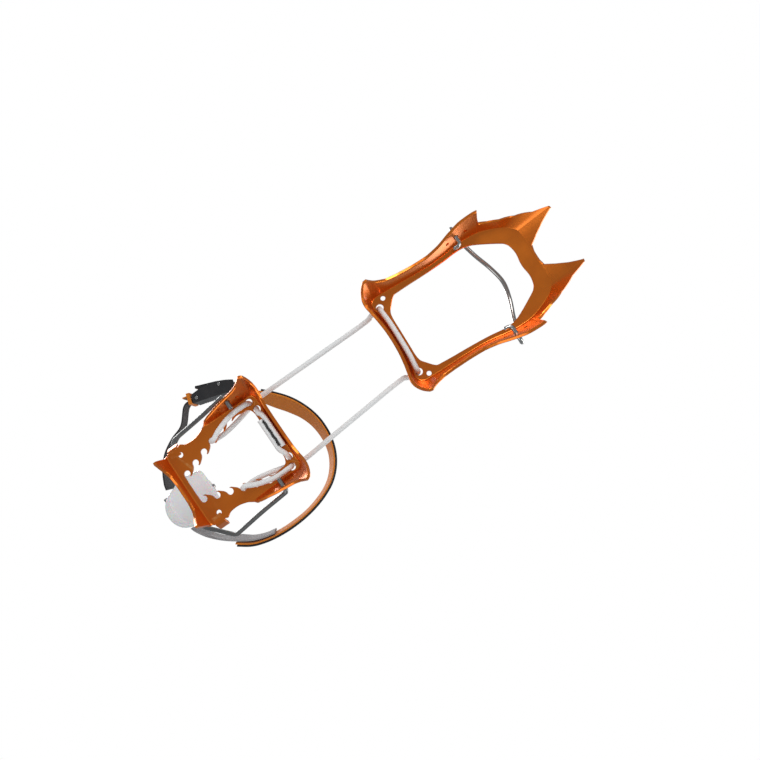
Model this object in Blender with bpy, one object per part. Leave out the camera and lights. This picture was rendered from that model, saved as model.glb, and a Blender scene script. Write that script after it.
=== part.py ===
"""A ten-point hiking crampon for the right foot, as an assembly of its real pieces.

Two pressed sheet frames, a front section with six points and a heel section with four, are linked by one
loop of cord. A wire bail holds the boot's toe, a second one with a plastic lever holds its heel, and a
webbing strap goes round the ankle. Everything is worked out in millimetres and turned into metres when a
mesh is made. +X points to the toe, +Y to the left, +Z up, and the points stand on z = 0.
"""

import math

import bpy
import numpy as np

MM = 0.001

# Driving dimensions, in millimetres.
SHEET = 2.5  # thickness of the pressed sheet of both frames
BEND_RADIUS = 2.75  # of the middle of the sheet, at every bend
POINT_DEPTH = 27.5  # from the middle of the plates down to the tips that stand on the ground
FRONT_POINT_DEPTH = 20.0  # the two front points stay clear of the ground
GAP = 0.3  # between pieces that rest on each other

HEEL_X = -155.9  # rear edge of the heel plate
FRONT_X = 36.3  # rear edge of the front plate
MIDDLE_Y = 4.2  # the heel frame's middle line, so that the whole object is centred on Y = 0
FRONT_Y = MIDDLE_Y - 3.5  # the cord lets the front section lie a little to the right
FRONT_YAW = math.radians(3.4)  # and turned a little to the left

CORD = 3.5  # diameter of the linking cord
CORD_HOLE_RADIUS = 2.9
CORD_LIFT = SHEET / 2 + GAP + CORD / 2  # cord's middle above or below the middle of a plate
RUN_LIFT = CORD_LIFT + CORD + GAP  # the free runs pass over the cord between the heel's two holes
FLEX_GAP = 2.6  # clear length left in the cord solids where the cord bends

HOOKS = 6  # on each side of the heel's opening
HOOK_PITCH = 9.8
HOOK_RADIUS = 2.6
FIRST_HOOK = (8.9, 11.4)
HOOK_SLOPE = 0.335  # how fast the rows of hooks part, per mm forward
CORD_HOOK = 3  # the fourth pair holds the cord
REAR_BAR = 6.0  # front edge of the heel's rear crossbar

TOE_WIRE = 3.4
TOE_PIVOT = (81.5, -11.0)  # x and z in the front section
HEEL_WIRE = 3.6
HEEL_PIVOT = (65.0, -10.0)  # x and z in the heel section
PIVOT_CLEARANCE = 0.45
SPARE_HOLES = (-8.2, 8.2)  # further holes for the bails, before and behind the ones in use
SPARE_Z = -8.6  # of the heel's spare holes
SPARE_DRILL = 2.0  # with the clearance, holes of 2.9 mm

LEVER_BAR = (-14.0, 56.0)  # x and z of the heel bail's rear bar, in the heel section
LEVER_THICKNESS = 8.0
LEVER_FRONT, LEVER_REAR, LEVER_HALF = 9.0, -33.5, 18.5

WEBBING_WIDTH = 20.0
WEBBING = 1.5  # thickness of one layer
STRAP_Z = 67.0  # middle of the ankle strap above the plates

# Each row of a frame is a cut across its pressed edge, from the rear middle round the left side to the
# front middle: the corner where plate and flange would meet (x, y), the opening's edge (x, y), the
# flange's heading (180 is rearward, 90 is left), its angle below the plate and its length.
NO_FLANGE = 0.6


def point_length(angle, depth=POINT_DEPTH):
    """Length of a flange at this angle whose lower corner is at this depth."""
    slope = math.radians(angle)
    return (depth - SHEET / 2 * math.cos(slope)) / math.sin(slope)


def hook_line(x):
    """Half-width of the heel's opening at the tips of its hooks."""
    return FIRST_HOOK[1] - 2.3 + HOOK_SLOPE * (x - FIRST_HOOK[0] - 3)


HEEL_ROWS = [
    (1.0, 0.0, 6.0, 0.0, 180, 80, 9),
    (1.0, 8.0, 6.0, 3.0, 180, 80, 9),
    (1.0, 15.0, 6.0, 5.5, 180, 80, 11),
    (1.0, 20.5, 6.5, 7.2, 180, 81, 16),
    (1.0, 26.8, 9.0, hook_line(9), 180, 84, point_length(84)),
    (1.2, 28.8, 10.2, hook_line(10.2), 180, 84, point_length(84)),
    (1.4, 30.0, 10.9, hook_line(10.9), 180, 78, 3.6),
    (4.1, 30.9, 11.8, hook_line(11.8), 150, 0, NO_FLANGE),
    (5.0, 31.6, 12.8, hook_line(12.8), 90, 0, NO_FLANGE),
    (13.4, 31.8, 18.6, hook_line(18.6), 90, 0, NO_FLANGE),
    (16.4, 32.6, 20.6, hook_line(20.6), 90, 0, NO_FLANGE),
    (20.4, 30.2, 23.0, hook_line(23), 90, 0, NO_FLANGE),
    (27.7, 29.8, 28.5, hook_line(28.5), 90, 0, NO_FLANGE),
    (34.5, 31.6, 34.5, hook_line(34.5), 90, 0, NO_FLANGE),
    (39.0, 33.6, 39.0, hook_line(39), 90, 14, 1.2),
    (43.0, 34.2, 43.0, hook_line(43), 90, 60, 5),
    (50.0, 34.2, 50.0, hook_line(50), 90, 66, 9.5),
    (58.0, 34.2, 57.0, hook_line(57), 90, 66, 13),
    (66.0, 34.2, 63.5, hook_line(63.5), 90, 66, 15.5),
    (73.0, 34.2, 69.0, 25.6, 90, 66, 17.5),
    (78.0, 34.2, 72.5, 25.4, 88, 66, 21),
    (81.6, 33.6, 74.6, 24.2, 80, 66, point_length(66)),
    (83.2, 32.4, 75.6, 22.6, 72, 66, point_length(66)),
    (84.6, 29.4, 76.3, 20.4, 35, 72, 18),
    (85.0, 25.0, 76.5, 17.6, 10, 76, 12),
    (85.0, 18.0, 76.5, 13.6, 0, 78, 9),
    (85.0, 8.0, 76.5, 6.6, 0, 78, 7.5),
    (85.0, 0.0, 76.5, 0.0, 0, 78, 7.5),
]

FRONT_ROWS = [
    (2.5, 0.0, 10.0, 0.0, 180, 80, 8),
    (2.2, 10.0, 10.0, 8.0, 180, 80, 8.5),
    (1.2, 20.0, 10.0, 16.0, 180, 80, 10),
    (0.2, 27.0, 11.0, 21.5, 178, 80, 12),
    (0.2, 32.0, 14.5, 26.0, 165, 77, 15),
    (2.2, 35.6, 17.5, 29.4, 125, 74, 21),
    (5.4, 37.2, 19.5, 31.0, 98, 71, point_length(71)),
    (7.8, 37.6, 21.0, 31.4, 94, 71, point_length(71)),
    (12.0, 37.7, 24.5, 31.6, 90, 72, 21),
    (20.0, 37.6, 29.0, 31.8, 90, 73, 15),
    (29.0, 37.4, 35.0, 32.0, 90, 74, 13.5),
    (42.0, 37.0, 45.0, 32.2, 90, 74, 13),
    (55.0, 37.0, 56.0, 32.6, 90, 74, 13.5),
    (66.0, 37.8, 66.0, 33.2, 90, 73, 16),
    (76.0, 39.2, 75.0, 34.2, 90, 72, 20),
    (86.0, 40.0, 83.0, 34.2, 84, 71, 24.5),
    (95.0, 39.6, 89.0, 32.7, 68, 70, point_length(70) - 1),
    (98.0, 39.2, 91.5, 31.6, 62, 70, point_length(70)),
    (100.2, 38.8, 94.0, 30.4, 72, 69, 11),
    (106.0, 36.8, 98.5, 28.0, 66, 62, 8.5),
    (113.0, 33.6, 103.5, 25.2, 50, 52, 8),
    (118.6, 30.4, 107.6, 22.8, 22, 42, 12),
    (122.4, 27.2, 110.6, 20.8, 4, 37, 21),
    (124.6, 24.6, 112.4, 18.6, 0, 36, point_length(36, FRONT_POINT_DEPTH)),
    (125.2, 22.4, 113.2, 17.0, 0, 36, point_length(36, FRONT_POINT_DEPTH)),
    (125.8, 18.0, 114.0, 14.0, 0, 36, 20),
    (126.0, 13.0, 114.4, 10.4, 0, 36, 10),
    (125.8, 8.5, 114.2, 7.0, 0, 36, 2.5),
    (125.6, 4.0, 113.6, 3.4, 0, 34, 1.5),
    (125.5, 0.0, 113.4, 0.0, 0, 34, 1.5),
]

# The heel stops: tabs of the heel frame that stand up beside the boot's heel.
STOP_X = (5.0, 13.4)
STOP_Y = 32.5
STOP_ANGLE = 72
STOP_LENGTH = 10.0

FRONT_CORD_HOLE = (5.6, 28.4)
FRONT_SMALL_HOLE = (11.4, 33.4)
OUTER_CORD_HOLE = (77.4, 29.2)
INNER_CORD_HOLE = (79.7, 21.6)


def heel(points):
    """Points of the heel section, in its own millimetres, moved to where it stands."""
    points = np.asarray(points, float)
    return points + np.array([HEEL_X, MIDDLE_Y, POINT_DEPTH])


def front(points):
    """Points of the front section, turned and moved to where it stands."""
    points = np.asarray(points, float)
    turn = np.array(
        [
            [math.cos(FRONT_YAW), -math.sin(FRONT_YAW), 0],
            [math.sin(FRONT_YAW), math.cos(FRONT_YAW), 0],
            [0, 0, 1],
        ]
    )
    return points @ turn.T + np.array([FRONT_X, FRONT_Y, POINT_DEPTH])


def finish_material(name, colour, roughness, metallic=0.0):
    made = bpy.data.materials.new(name)
    made.use_nodes = True
    shader = made.node_tree.nodes["Principled BSDF"]
    shader.inputs["Base Color"].default_value = (*colour, 1)
    shader.inputs["Roughness"].default_value = roughness
    shader.inputs["Metallic"].default_value = metallic
    return made


def mesh_object(name, points, faces, material, cutter=False):
    """A mesh object from points in millimetres."""
    mesh = bpy.data.meshes.new(name)
    mesh.from_pydata((np.asarray(points) * MM).tolist(), [], [list(map(int, f)) for f in faces])
    mesh.update()
    made = bpy.data.objects.new(name, mesh)
    bpy.context.scene.collection.objects.link(made)
    if cutter:
        made.hide_render = True
        made.display_type = "WIRE"
    else:
        mesh.materials.append(material)
        mesh.shade_smooth()
        mesh.set_sharp_from_angle(angle=math.radians(35))
    return made


def cut(target, cutter):
    boolean = target.modifiers.new(cutter.name, "BOOLEAN")
    boolean.operation = "DIFFERENCE"
    boolean.solver = "EXACT"
    boolean.object = cutter


def grid_faces(rings, around, closed_rings):
    """Quads between rings of points that each close on themselves, with end caps on an open row."""
    faces = []
    for i in range(rings if closed_rings else rings - 1):
        for j in range(around):
            a, b = i * around, (i + 1) % rings * around
            faces.append((b + j, b + (j + 1) % around, a + (j + 1) % around, a + j))
    if not closed_rings:
        faces.append(tuple(range(around)))
        faces.append(tuple((rings - 1) * around + j for j in range(around))[::-1])
    return faces


def prism(outline, low, high, axis="z"):
    """Points and faces of an outline, counter-clockwise, between two heights along an axis."""
    outline = np.asarray(outline, float)
    count = len(outline)
    height = np.concatenate([np.full(count, low), np.full(count, high)])
    plan = np.concatenate([outline, outline])
    if axis == "z":
        points = np.column_stack([plan, height])
    elif axis == "y":  # the outline holds z and x
        points = np.column_stack([plan[:, 1], height, plan[:, 0]])
    else:  # the outline holds y and z
        points = np.column_stack([height, plan])
    faces = [tuple(range(count))[::-1], tuple(range(count, 2 * count))]
    faces += [(j, (j + 1) % count, (j + 1) % count + count, j + count) for j in range(count)]
    return points, faces


def joined(shapes):
    """Several closed shapes as one list of points and one of faces."""
    points, faces, start = [], [], 0
    for shape_points, shape_faces in shapes:
        points.append(shape_points)
        faces += [tuple(start + j for j in face) for face in shape_faces]
        start += len(shape_points)
    return np.concatenate(points), faces


def circle(x, y, radius, sides=12):
    turn = np.arange(sides) * 2 * math.pi / sides
    return np.column_stack([x + radius * np.cos(turn), y + radius * np.sin(turn)])


def between_rows(rows, steps):
    """Rows of one half, with steps between neighbours: smooth in plan, straight in angle and length."""
    rows = np.array(rows, float)
    mirror = rows[:, :4] * [1, -1, 1, -1]
    plan = np.concatenate([mirror[1:2], rows[:, :4], mirror[-2:-1]])
    made = []
    for i in range(len(rows) - 1):
        p0, p1, p2, p3 = plan[i : i + 4]
        for t in np.arange(steps) / steps:
            smooth = (
                2 * p1 + (p2 - p0) * t + (2 * p0 - 5 * p1 + 4 * p2 - p3) * t**2
                + (3 * p1 - p0 - 3 * p2 + p3) * t**3
            ) / 2
            made.append(np.concatenate([smooth, (1 - t) * rows[i, 4:] + t * rows[i + 1, 4:]]))
    made.append(rows[-1])
    return np.array(made)


def pressed_ring(rows, steps=2, arc=3):
    """A ring of sheet: flat inside, bent along its corner line by each row's angle."""
    rows = between_rows(rows, steps)
    corner, inner = rows[:, 0:2], rows[:, 2:4]
    heading, angle, length = np.radians(rows[:, 4]), np.radians(rows[:, 5]), rows[:, 6]
    out = np.column_stack([np.cos(heading), np.sin(heading), np.zeros(len(rows))])
    up = np.array([0.0, 0.0, 1.0])
    turned, sign = np.abs(angle), np.sign(angle)
    tangent = BEND_RADIUS * np.tan(turned / 2)
    start = np.column_stack([corner, np.zeros(len(rows))]) - out * tangent[:, None]
    middles = [np.column_stack([inner, np.zeros(len(rows))])]
    normals = [np.tile(up, (len(rows), 1))]
    for part in np.arange(arc + 1) / arc:
        a = turned * part
        middles.append(
            start
            + BEND_RADIUS * (out * np.sin(a)[:, None] - up * (sign * (1 - np.cos(a)))[:, None])
        )
        normals.append(up * np.cos(a)[:, None] + out * (sign * np.sin(a))[:, None])
    straight = np.maximum(length - tangent, 0.3)
    down = out * np.cos(turned)[:, None] - up * (sign * np.sin(turned))[:, None]
    middles.append(middles[-1] + down * straight[:, None])
    normals.append(normals[-1])
    upper = [m + n * SHEET / 2 for m, n in zip(middles, normals)]
    lower = [m - n * SHEET / 2 for m, n in zip(middles, normals)]
    half = np.stack(upper + lower[::-1], axis=1)
    other = half[-2:0:-1] * [1, -1, 1]
    points = np.concatenate([half, other])
    return points.reshape(-1, 3), grid_faces(len(points), half.shape[1], True)


def holes_down(places, radius):
    """Upright drills through both sides' plates."""
    return [prism(circle(x, side * y, radius), -6, 6) for x, y in places for side in (1, -1)]


def pivot_drills(pivot, wire, near, far):
    """Drills across both flanges, along Y."""
    outline = circle(pivot[1], pivot[0], wire / 2 + PIVOT_CLEARANCE)
    return [prism(outline, near, far, "y"), prism(outline, -far, -near, "y")]


def hook_cutters():
    """The notch of each hook: a round seat behind a curled tip, then a bump that swells to the next tip."""
    shapes = []
    for k in range(HOOKS):
        x, y = FIRST_HOOK[0] + k * HOOK_PITCH, FIRST_HOOK[1] + k * HOOK_PITCH * HOOK_SLOPE
        turn = np.radians(np.arange(-60, 181, 30))
        seat = np.column_stack([x + HOOK_RADIUS * np.cos(turn), y + HOOK_RADIUS * np.sin(turn)])
        bump = [(x - 3.3, y - 1.6), (x - 4.5, y - 3.3), (x - 5.7, y - 4.6), (x - 6.9, y - 5.4)]
        outline = np.vstack([seat, bump, [x - 6.9, y - 9], [x + 1.2, y - 7]])
        outline[:, 0] = np.maximum(outline[:, 0], REAR_BAR + 0.1)
        shapes.append(prism(outline, -6, 6))
        shapes.append(prism((outline * [1, -1])[::-1], -6, 6))
    return shapes


def heel_stop():
    """The section of a tab that stands up from the plate's edge, as an outline of y and z."""
    bend, length = math.radians(STOP_ANGLE), STOP_LENGTH
    tangent = BEND_RADIUS * math.tan(bend / 2)
    start = STOP_Y - tangent
    middle, normal = [(STOP_Y - 6, 0.0)], [(0.0, 1.0)]
    for a in np.linspace(0, bend, 4):
        middle.append((start + BEND_RADIUS * math.sin(a), BEND_RADIUS * (1 - math.cos(a))))
        normal.append((-math.sin(a), math.cos(a)))
    last = middle[-1]
    straight = length - tangent
    middle.append((last[0] + straight * math.cos(bend), last[1] + straight * math.sin(bend)))
    normal.append(normal[-1])
    middle, normal = np.array(middle), np.array(normal)
    return np.vstack([middle - normal * SHEET / 2, (middle + normal * SHEET / 2)[::-1]])


def add(target, name, shape):
    """Joins a shape in the heel section to a solid."""
    union = target.modifiers.new(name, "BOOLEAN")
    union.operation = "UNION"
    union.solver = "EXACT"
    union.object = mesh_object(name, heel(shape[0]), shape[1], None, cutter=True)


def heel_frame(orange):
    points, faces = pressed_ring(HEEL_ROWS)
    frame = mesh_object("heel_frame", heel(points), faces, orange)
    left = heel_stop()
    add(frame, "left_stop", prism(left, *STOP_X, "x"))
    add(frame, "right_stop", prism((left * [-1, 1])[::-1], *STOP_X, "x"))
    shapes = holes_down([OUTER_CORD_HOLE, INNER_CORD_HOLE], CORD_HOLE_RADIUS)
    shapes += holes_down([(12.6, 26.2)], 2.1)
    shapes += pivot_drills(HEEL_PIVOT, HEEL_WIRE, 30, 50)
    for shift in SPARE_HOLES:
        shapes += pivot_drills((HEEL_PIVOT[0] + shift, SPARE_Z), SPARE_DRILL, 30, 50)
    shapes += hook_cutters()
    points, faces = joined(shapes)
    cut(frame, mesh_object("heel_drills", heel(points), faces, None, cutter=True))


def front_frame(orange):
    points, faces = pressed_ring(FRONT_ROWS)
    frame = mesh_object("front_frame", front(points), faces, orange)
    shapes = holes_down([FRONT_CORD_HOLE], CORD_HOLE_RADIUS) + holes_down([FRONT_SMALL_HOLE], 1.9)
    shapes += pivot_drills(TOE_PIVOT, TOE_WIRE, 37, 55)
    for shift in SPARE_HOLES:
        shapes += pivot_drills((TOE_PIVOT[0] + shift, TOE_PIVOT[1]), SPARE_DRILL, 37, 55)
    points, faces = joined(shapes)
    cut(frame, mesh_object("front_drills", front(points), faces, None, cutter=True))


def smooth_path(points, step):
    """Points about one step apart on a smooth curve through all the given ones."""
    points = np.asarray(points, float)
    ends = [2 * points[0] - points[1]], [2 * points[-1] - points[-2]]
    padded = np.concatenate([ends[0], points, ends[1]])
    made = []
    for p0, p1, p2, p3 in zip(padded, padded[1:], padded[2:], padded[3:]):
        count = max(1, round(float(np.linalg.norm((p2 - p1)[:3])) / step))
        for t in np.arange(count) / count:
            made.append(
                (
                    2 * p1 + (p2 - p0) * t + (2 * p0 - 5 * p1 + 4 * p2 - p3) * t**2
                    + (3 * p1 - p0 - 3 * p2 + p3) * t**3
                )
                / 2
            )
    made.append(points[-1])
    return np.array(made)


def wire(name, points, diameter, material, resolution=2):
    """A round bar along a path, with flat ends."""
    curve = bpy.data.curves.new(name, "CURVE")
    curve.dimensions = "3D"
    curve.bevel_depth = diameter / 2 * MM
    curve.bevel_resolution = resolution
    curve.use_fill_caps = True
    spline = curve.splines.new("POLY")
    spline.points.add(len(points) - 1)
    for place, point in zip(spline.points, np.asarray(points) * MM):
        place.co = (*point, 1)
    curve.materials.append(material)
    made = bpy.data.objects.new(name, curve)
    bpy.context.scene.collection.objects.link(made)
    return made


def both_sides(half):
    """A path from one end to the middle, carried on to its mirror image. The last point is at y = 0."""
    half = np.asarray(half, float)
    return np.concatenate([half, half[-2::-1] * [1, -1, 1]])


def toe_bail(steel):
    """From a hook behind each flange out through its hole, up outside it and across over the toe."""
    x, z = TOE_PIVOT
    half = [
        (x - 6.5, 35.8, z), (x - 2.4, 36.0, z), (x - 0.2, 37.8, z), (x, 41, z), (x, 46, z),
        (x + 0.3, 49.2, z + 1.6), (x + 0.8, 50.2, z + 6), (x + 1.6, 48.6, z + 14),
        (x + 4, 41.4, z + 24.5), (x + 9, 28, z + 34.5), (x + 14.5, 14.5, z + 40.5), (x + 17.5, 0, z + 42),
    ]
    wire("toe_bail", front(smooth_path(both_sides(half), 4)), TOE_WIRE, steel)


def heel_bail(steel):
    """From inside each flange out through its hole, up and back outside the boot, across behind it."""
    x, z = HEEL_PIVOT
    bar_x, bar_z = LEVER_BAR
    half = [
        (x, 31.2, z), (x, 36, z), (x, 40.4, z), (x - 1, 42.6, z + 0.8), (x - 4, 43.0, z + 3.4),
        (38, 43.4, 12.5), (12, 44.6, 34.2), (7.2, 44.2, 38.4), (3.0, 41.0, 42.0),
        (-10.4, 27.5, 53.2), (-13.2, 24.2, 55.4), (bar_x, 20.8, bar_z), (bar_x, 10, bar_z),
        (bar_x, 0, bar_z),
    ]
    wire("heel_bail", heel(smooth_path(both_sides(half), 4.5)), HEEL_WIRE, steel)


def heel_lever(plastic):
    """A tongue with a rounded rear end, bored for the bail's bar, with two lugs for the adjuster."""
    turn = np.radians(np.arange(90, 271, 18))
    rear = np.column_stack([LEVER_REAR + 15 + 15 * np.cos(turn), 2 + 16.5 * np.sin(turn)])
    outline = np.vstack(
        [
            [LEVER_FRONT - 3, -LEVER_HALF + 2], [LEVER_FRONT, -LEVER_HALF + 6],
            [LEVER_FRONT, LEVER_HALF - 6], [LEVER_FRONT - 3, LEVER_HALF - 2],
            [-6, LEVER_HALF], [-12, LEVER_HALF - 0.4], rear, [-12, 0.4 - LEVER_HALF], [-6, -LEVER_HALF],
        ]
    )
    z = LEVER_BAR[1]
    low, high = z - LEVER_THICKNESS / 2, z + LEVER_THICKNESS / 2
    points, faces = prism(outline, low, high)
    lever = mesh_object("heel_lever", heel(points), faces, plastic)
    for name, x in (("front_lug", 7.0), ("rear_lug", -8.0)):
        lug = [(-6, high - 2), (6, high - 2), (6, high + 6), (4, high + 8), (-4, high + 8), (-6, high + 6)]
        points, faces = prism(lug, x - 1.5, x + 1.5, "x")
        add(lever, name, (points, faces))
    staple = [
        (high - 1, -31), (high - 1, -30.9), (high + 4.2, -30.9), (high + 4.2, -11.1),
        (high - 1, -11.1), (high - 1, -9.5), (high + 6, -9.5), (high + 6, -32.4),
    ]
    add(lever, "strap_staple", prism(staple, -5, 5, "y"))
    bar = prism(circle(z, LEVER_BAR[0], HEEL_WIRE / 2 + PIVOT_CLEARANCE), -30, 30, "y")
    screw = prism(circle(0, ADJUSTER_Z, 2.2), -12, 12, "x")
    points, faces = joined([bar, screw])
    cut(lever, mesh_object("lever_drills", heel(points), faces, None, cutter=True))


ADJUSTER_Z = LEVER_BAR[1] + LEVER_THICKNESS / 2 + 5.0
WHEEL_X = (-5.8, -2.2)
BLOCK_X = (0.2, 3.4)


def adjuster(steel, black):
    """A screw between the lever's lugs, its knurled wheel, and the block that bears on the heel's welt."""
    points, faces = prism(circle(0, ADJUSTER_Z, 1.7), -11, 10, "x")
    mesh_object("adjuster_screw", heel(points), faces, steel)
    teeth = 20
    turn = np.arange(teeth) * 2 * math.pi / teeth
    radius = np.where(np.arange(teeth) % 2, 4.3, 4.7)
    rim = np.column_stack([radius * np.cos(turn), radius * np.sin(turn)]) + [0, ADJUSTER_Z]
    bore = circle(0, ADJUSTER_Z, 2.0, 20)
    points, faces = hollow_prism(rim, bore, *WHEEL_X)
    mesh_object("adjuster_wheel", heel(points), faces, black)
    low = LEVER_BAR[1] + LEVER_THICKNESS / 2 + GAP
    outline = [(-9, low), (9, low), (9, low + 5), (7, low + 12), (-7, low + 12), (-9, low + 5)]
    points, faces = prism(outline, *BLOCK_X, "x")
    block = mesh_object("welt_block", heel(points), faces, black)
    points, faces = prism(circle(0, ADJUSTER_Z, 2.0), -2, 6, "x")
    cut(block, mesh_object("block_drill", heel(points), faces, None, cutter=True))


def hollow_prism(outer, inner, low, high):
    """A tube along X from two outlines of y and z with the same number of points."""
    count = len(outer)
    rings = [(outer, low), (outer, high), (inner, high), (inner, low)]
    points = np.concatenate([np.column_stack([np.full(count, x), ring]) for ring, x in rings])
    faces = []
    for i in range(4):
        for j in range(count):
            a, b, k = i * count, (i + 1) % 4 * count, (j + 1) % count
            faces.append((a + j, a + k, b + k, b + j))
    return points, faces


def stations(route, step=7.0):
    """Along webbing: places, the way across its width and the way its inner face looks. Each route
    point is x, y, z and the lean of the width: 0 is upright, 90 lies flat with its inner face down."""
    path = smooth_path(route, step)
    place, lean = path[:, :3], np.radians(path[:, 3])
    along = np.gradient(place, axis=0)
    along[:, 2] = 0
    along /= np.linalg.norm(along, axis=1)[:, None]
    inward = np.column_stack([along[:, 1], -along[:, 0], np.zeros(len(path))])
    up = np.array([0.0, 0.0, 1.0])
    across = up * np.cos(lean)[:, None] + inward * np.sin(lean)[:, None]
    face = inward * np.cos(lean)[:, None] - up * np.sin(lean)[:, None]
    return place, across, face


def ribbon(name, strip, width, material, offset=0.0):
    """One layer of webbing along stations. Offset moves it away from the inner side."""
    place, across, face = strip
    middle = place - face * offset
    half, thin = across * width / 2, face * WEBBING / 2
    rings = np.stack(
        [middle - half - thin, middle - half + thin, middle + half + thin, middle + half - thin],
        axis=1,
    )
    faces = grid_faces(len(rings), 4, False)
    return mesh_object(name, heel(rings.reshape(-1, 3)), faces, material)


# The buckle stands upright on the strap's right side: its place and the way the strap runs through it.
BUCKLE = (52.5, -61.5)
BUCKLE_TURN = math.radians(197)
BUCKLE_HALF = 18.0
BUCKLE_PIN = (-6.0, 5.2)
BUCKLE_BAR = (14.5, 0.0)
WALL = 2.0  # thickness of the buckle's plates


def buckled(points):
    """Points along the strap, outward from it and up, moved to the buckle's place in the heel section."""
    points = np.asarray(points, float)
    along = np.array([math.cos(BUCKLE_TURN), math.sin(BUCKLE_TURN), 0])
    outward = np.array([-math.sin(BUCKLE_TURN), math.cos(BUCKLE_TURN), 0])
    place = points[:, :1] * along + points[:, 1:2] * outward + points[:, 2:] * [0, 0, 1]
    return place + [*BUCKLE, STRAP_Z]


def strap_in_buckle(places):
    """Route points from places along and outward of the buckle, with the webbing upright."""
    return [(*point, 0.0) for point in buckled([(u, v, 0) for u, v in places])]


# The ankle strap's loop in the heel section, from the lever's left side round the front to the buckle.
STRAP_LOOP = [
    (0.2, 47.4, STRAP_Z, 13), (10.3, 54.9, STRAP_Z, 10), (20.7, 58.8, STRAP_Z, 9),
    (32, 60.8, STRAP_Z, 9), (44.6, 61.3, STRAP_Z, 10), (58, 60.4, STRAP_Z, 10),
    (69.6, 58.0, STRAP_Z, 11), (80, 54.4, STRAP_Z, 12), (89.2, 49.2, STRAP_Z, 14),
    (97.2, 41.2, STRAP_Z, 16), (103, 31.0, STRAP_Z, 18), (106, 18.5, STRAP_Z, 21),
    (105.7, 4.7, STRAP_Z, 24), (102.2, -7.6, STRAP_Z, 27), (96.1, -19, STRAP_Z, 31),
    (88.6, -29, STRAP_Z, 30), (81, -38.5, STRAP_Z, 22), (74.0, -47.6, STRAP_Z, 8),
]
IN_BUCKLE = [(-18, 0), (-8, 0), (2, 0.2), (9, 2.6), (15, 3.5), (20, 3.5), (26, 3.4)]
LEFT_SIDE = [
    (-21.4, 18.0, 66.6, 58), (-20.2, 22.6, 66.6, 24), (-15.6, 30.0, 66.6, 16), (-7.5, 38.6, STRAP_Z, 14),
    (2.2, 46.0, STRAP_Z, 13), (11.4, 52.4, STRAP_Z, 10), (20.9, 56.4, STRAP_Z, 9), (30, 58.3, STRAP_Z, 9),
]
RIGHT_SIDE = [
    (15, -57.5, STRAP_Z, 2), (3, -51.5, STRAP_Z, 6), (-8, -44.0, STRAP_Z, 10), (-16.6, -33.5, 66.6, 14),
    (-21.2, -23.5, 66.6, 24), (-22.0, -18.0, 66.6, 58),
]
OVER_LEVER = [(-21, -13.5, 62.2, 90), (-21, 13.5, 62.2, 90)]


def ankle_strap(orange, black, grey):
    loop = stations(STRAP_LOOP + strap_in_buckle(IN_BUCKLE))
    ribbon("orange_webbing", loop, WEBBING_WIDTH, orange)
    front_of_tip = len(smooth_path(STRAP_LOOP[:17], 7.0))
    outer = [part[1:front_of_tip] for part in loop]
    ribbon("black_webbing", outer, WEBBING_WIDTH, black, WEBBING + 4 * GAP)
    ribbon("grey_webbing", stations(LEFT_SIDE), WEBBING_WIDTH - 1, grey)
    right = strap_in_buckle([(BUCKLE_BAR[0] + 3.2, 0), (21, -0.4), (27, -3.6)]) + RIGHT_SIDE
    ribbon("right_webbing", stations(right), WEBBING_WIDTH - 1, black)
    ribbon("lever_webbing", stations(OVER_LEVER), WEBBING_WIDTH - 1, black)


def box(low, high):
    """Points and faces of a block between two corners."""
    outline = [(low[0], low[1]), (high[0], low[1]), (high[0], high[1]), (low[0], high[1])]
    return prism(outline, low[2], high[2])


def buckle(plastic, steel, orange):
    """A cam buckle: a channel open to the outside, a toothed cam on a pin, a bar and the tail's loop."""
    wall = WEBBING_WIDTH / 2 + 0.7
    channel = [
        (-3.6, -wall - WALL), (7.5, -wall - WALL), (7.5, -wall), (-1.6, -wall),
        (-1.6, wall), (7.5, wall), (7.5, wall + WALL), (-3.6, wall + WALL),
    ]
    points, faces = prism(channel, -BUCKLE_HALF, BUCKLE_HALF, "x")
    body = mesh_object("buckle_body", heel(buckled(points)), faces, plastic)
    drills = [prism(circle(*place, 1.8), -20, 20) for place in (BUCKLE_PIN, BUCKLE_BAR)]
    points, faces = joined(drills)
    cut(body, mesh_object("buckle_drills", heel(buckled(points)), faces, None, cutter=True))
    for name, place in (("buckle_pin", BUCKLE_PIN), ("buckle_bar", BUCKLE_BAR)):
        points, faces = prism(circle(*place, 1.5), -wall - WALL, wall + WALL)
        mesh_object(name, heel(buckled(points)), faces, steel)
    u, v = BUCKLE_PIN
    cam = [
        (u - 1, v - 3.6), (u + 1.5, v - 4.0), (u + 4, v - 2.0), (u + 17, v + 1.2), (u + 20, v + 2.6),
        (u + 19.5, v + 4.6), (u + 15, v + 4.2), (u + 2, v + 3.2), (u - 2.2, v + 2.4), (u - 3.2, v - 0.6),
    ]
    points, faces = prism(cam, -wall + 0.5, wall - 0.5)
    lever = mesh_object("buckle_cam", heel(buckled(points)), faces, plastic)
    points, faces = prism(circle(u, v, 1.8), -20, 20)
    cut(lever, mesh_object("cam_drill", heel(buckled(points)), faces, None, cutter=True))
    inner, outer = box((18, -2.6, -10.6), (24, 4.9, 10.6)), box((19.2, -3.6, -11.6), (22.2, 5.9, 11.6))
    loop = mesh_object("tail_loop", heel(buckled(outer[0])), outer[1], orange)
    cut(loop, mesh_object("loop_inside", heel(buckled(inner[0])), inner[1], None, cutter=True))


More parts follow.
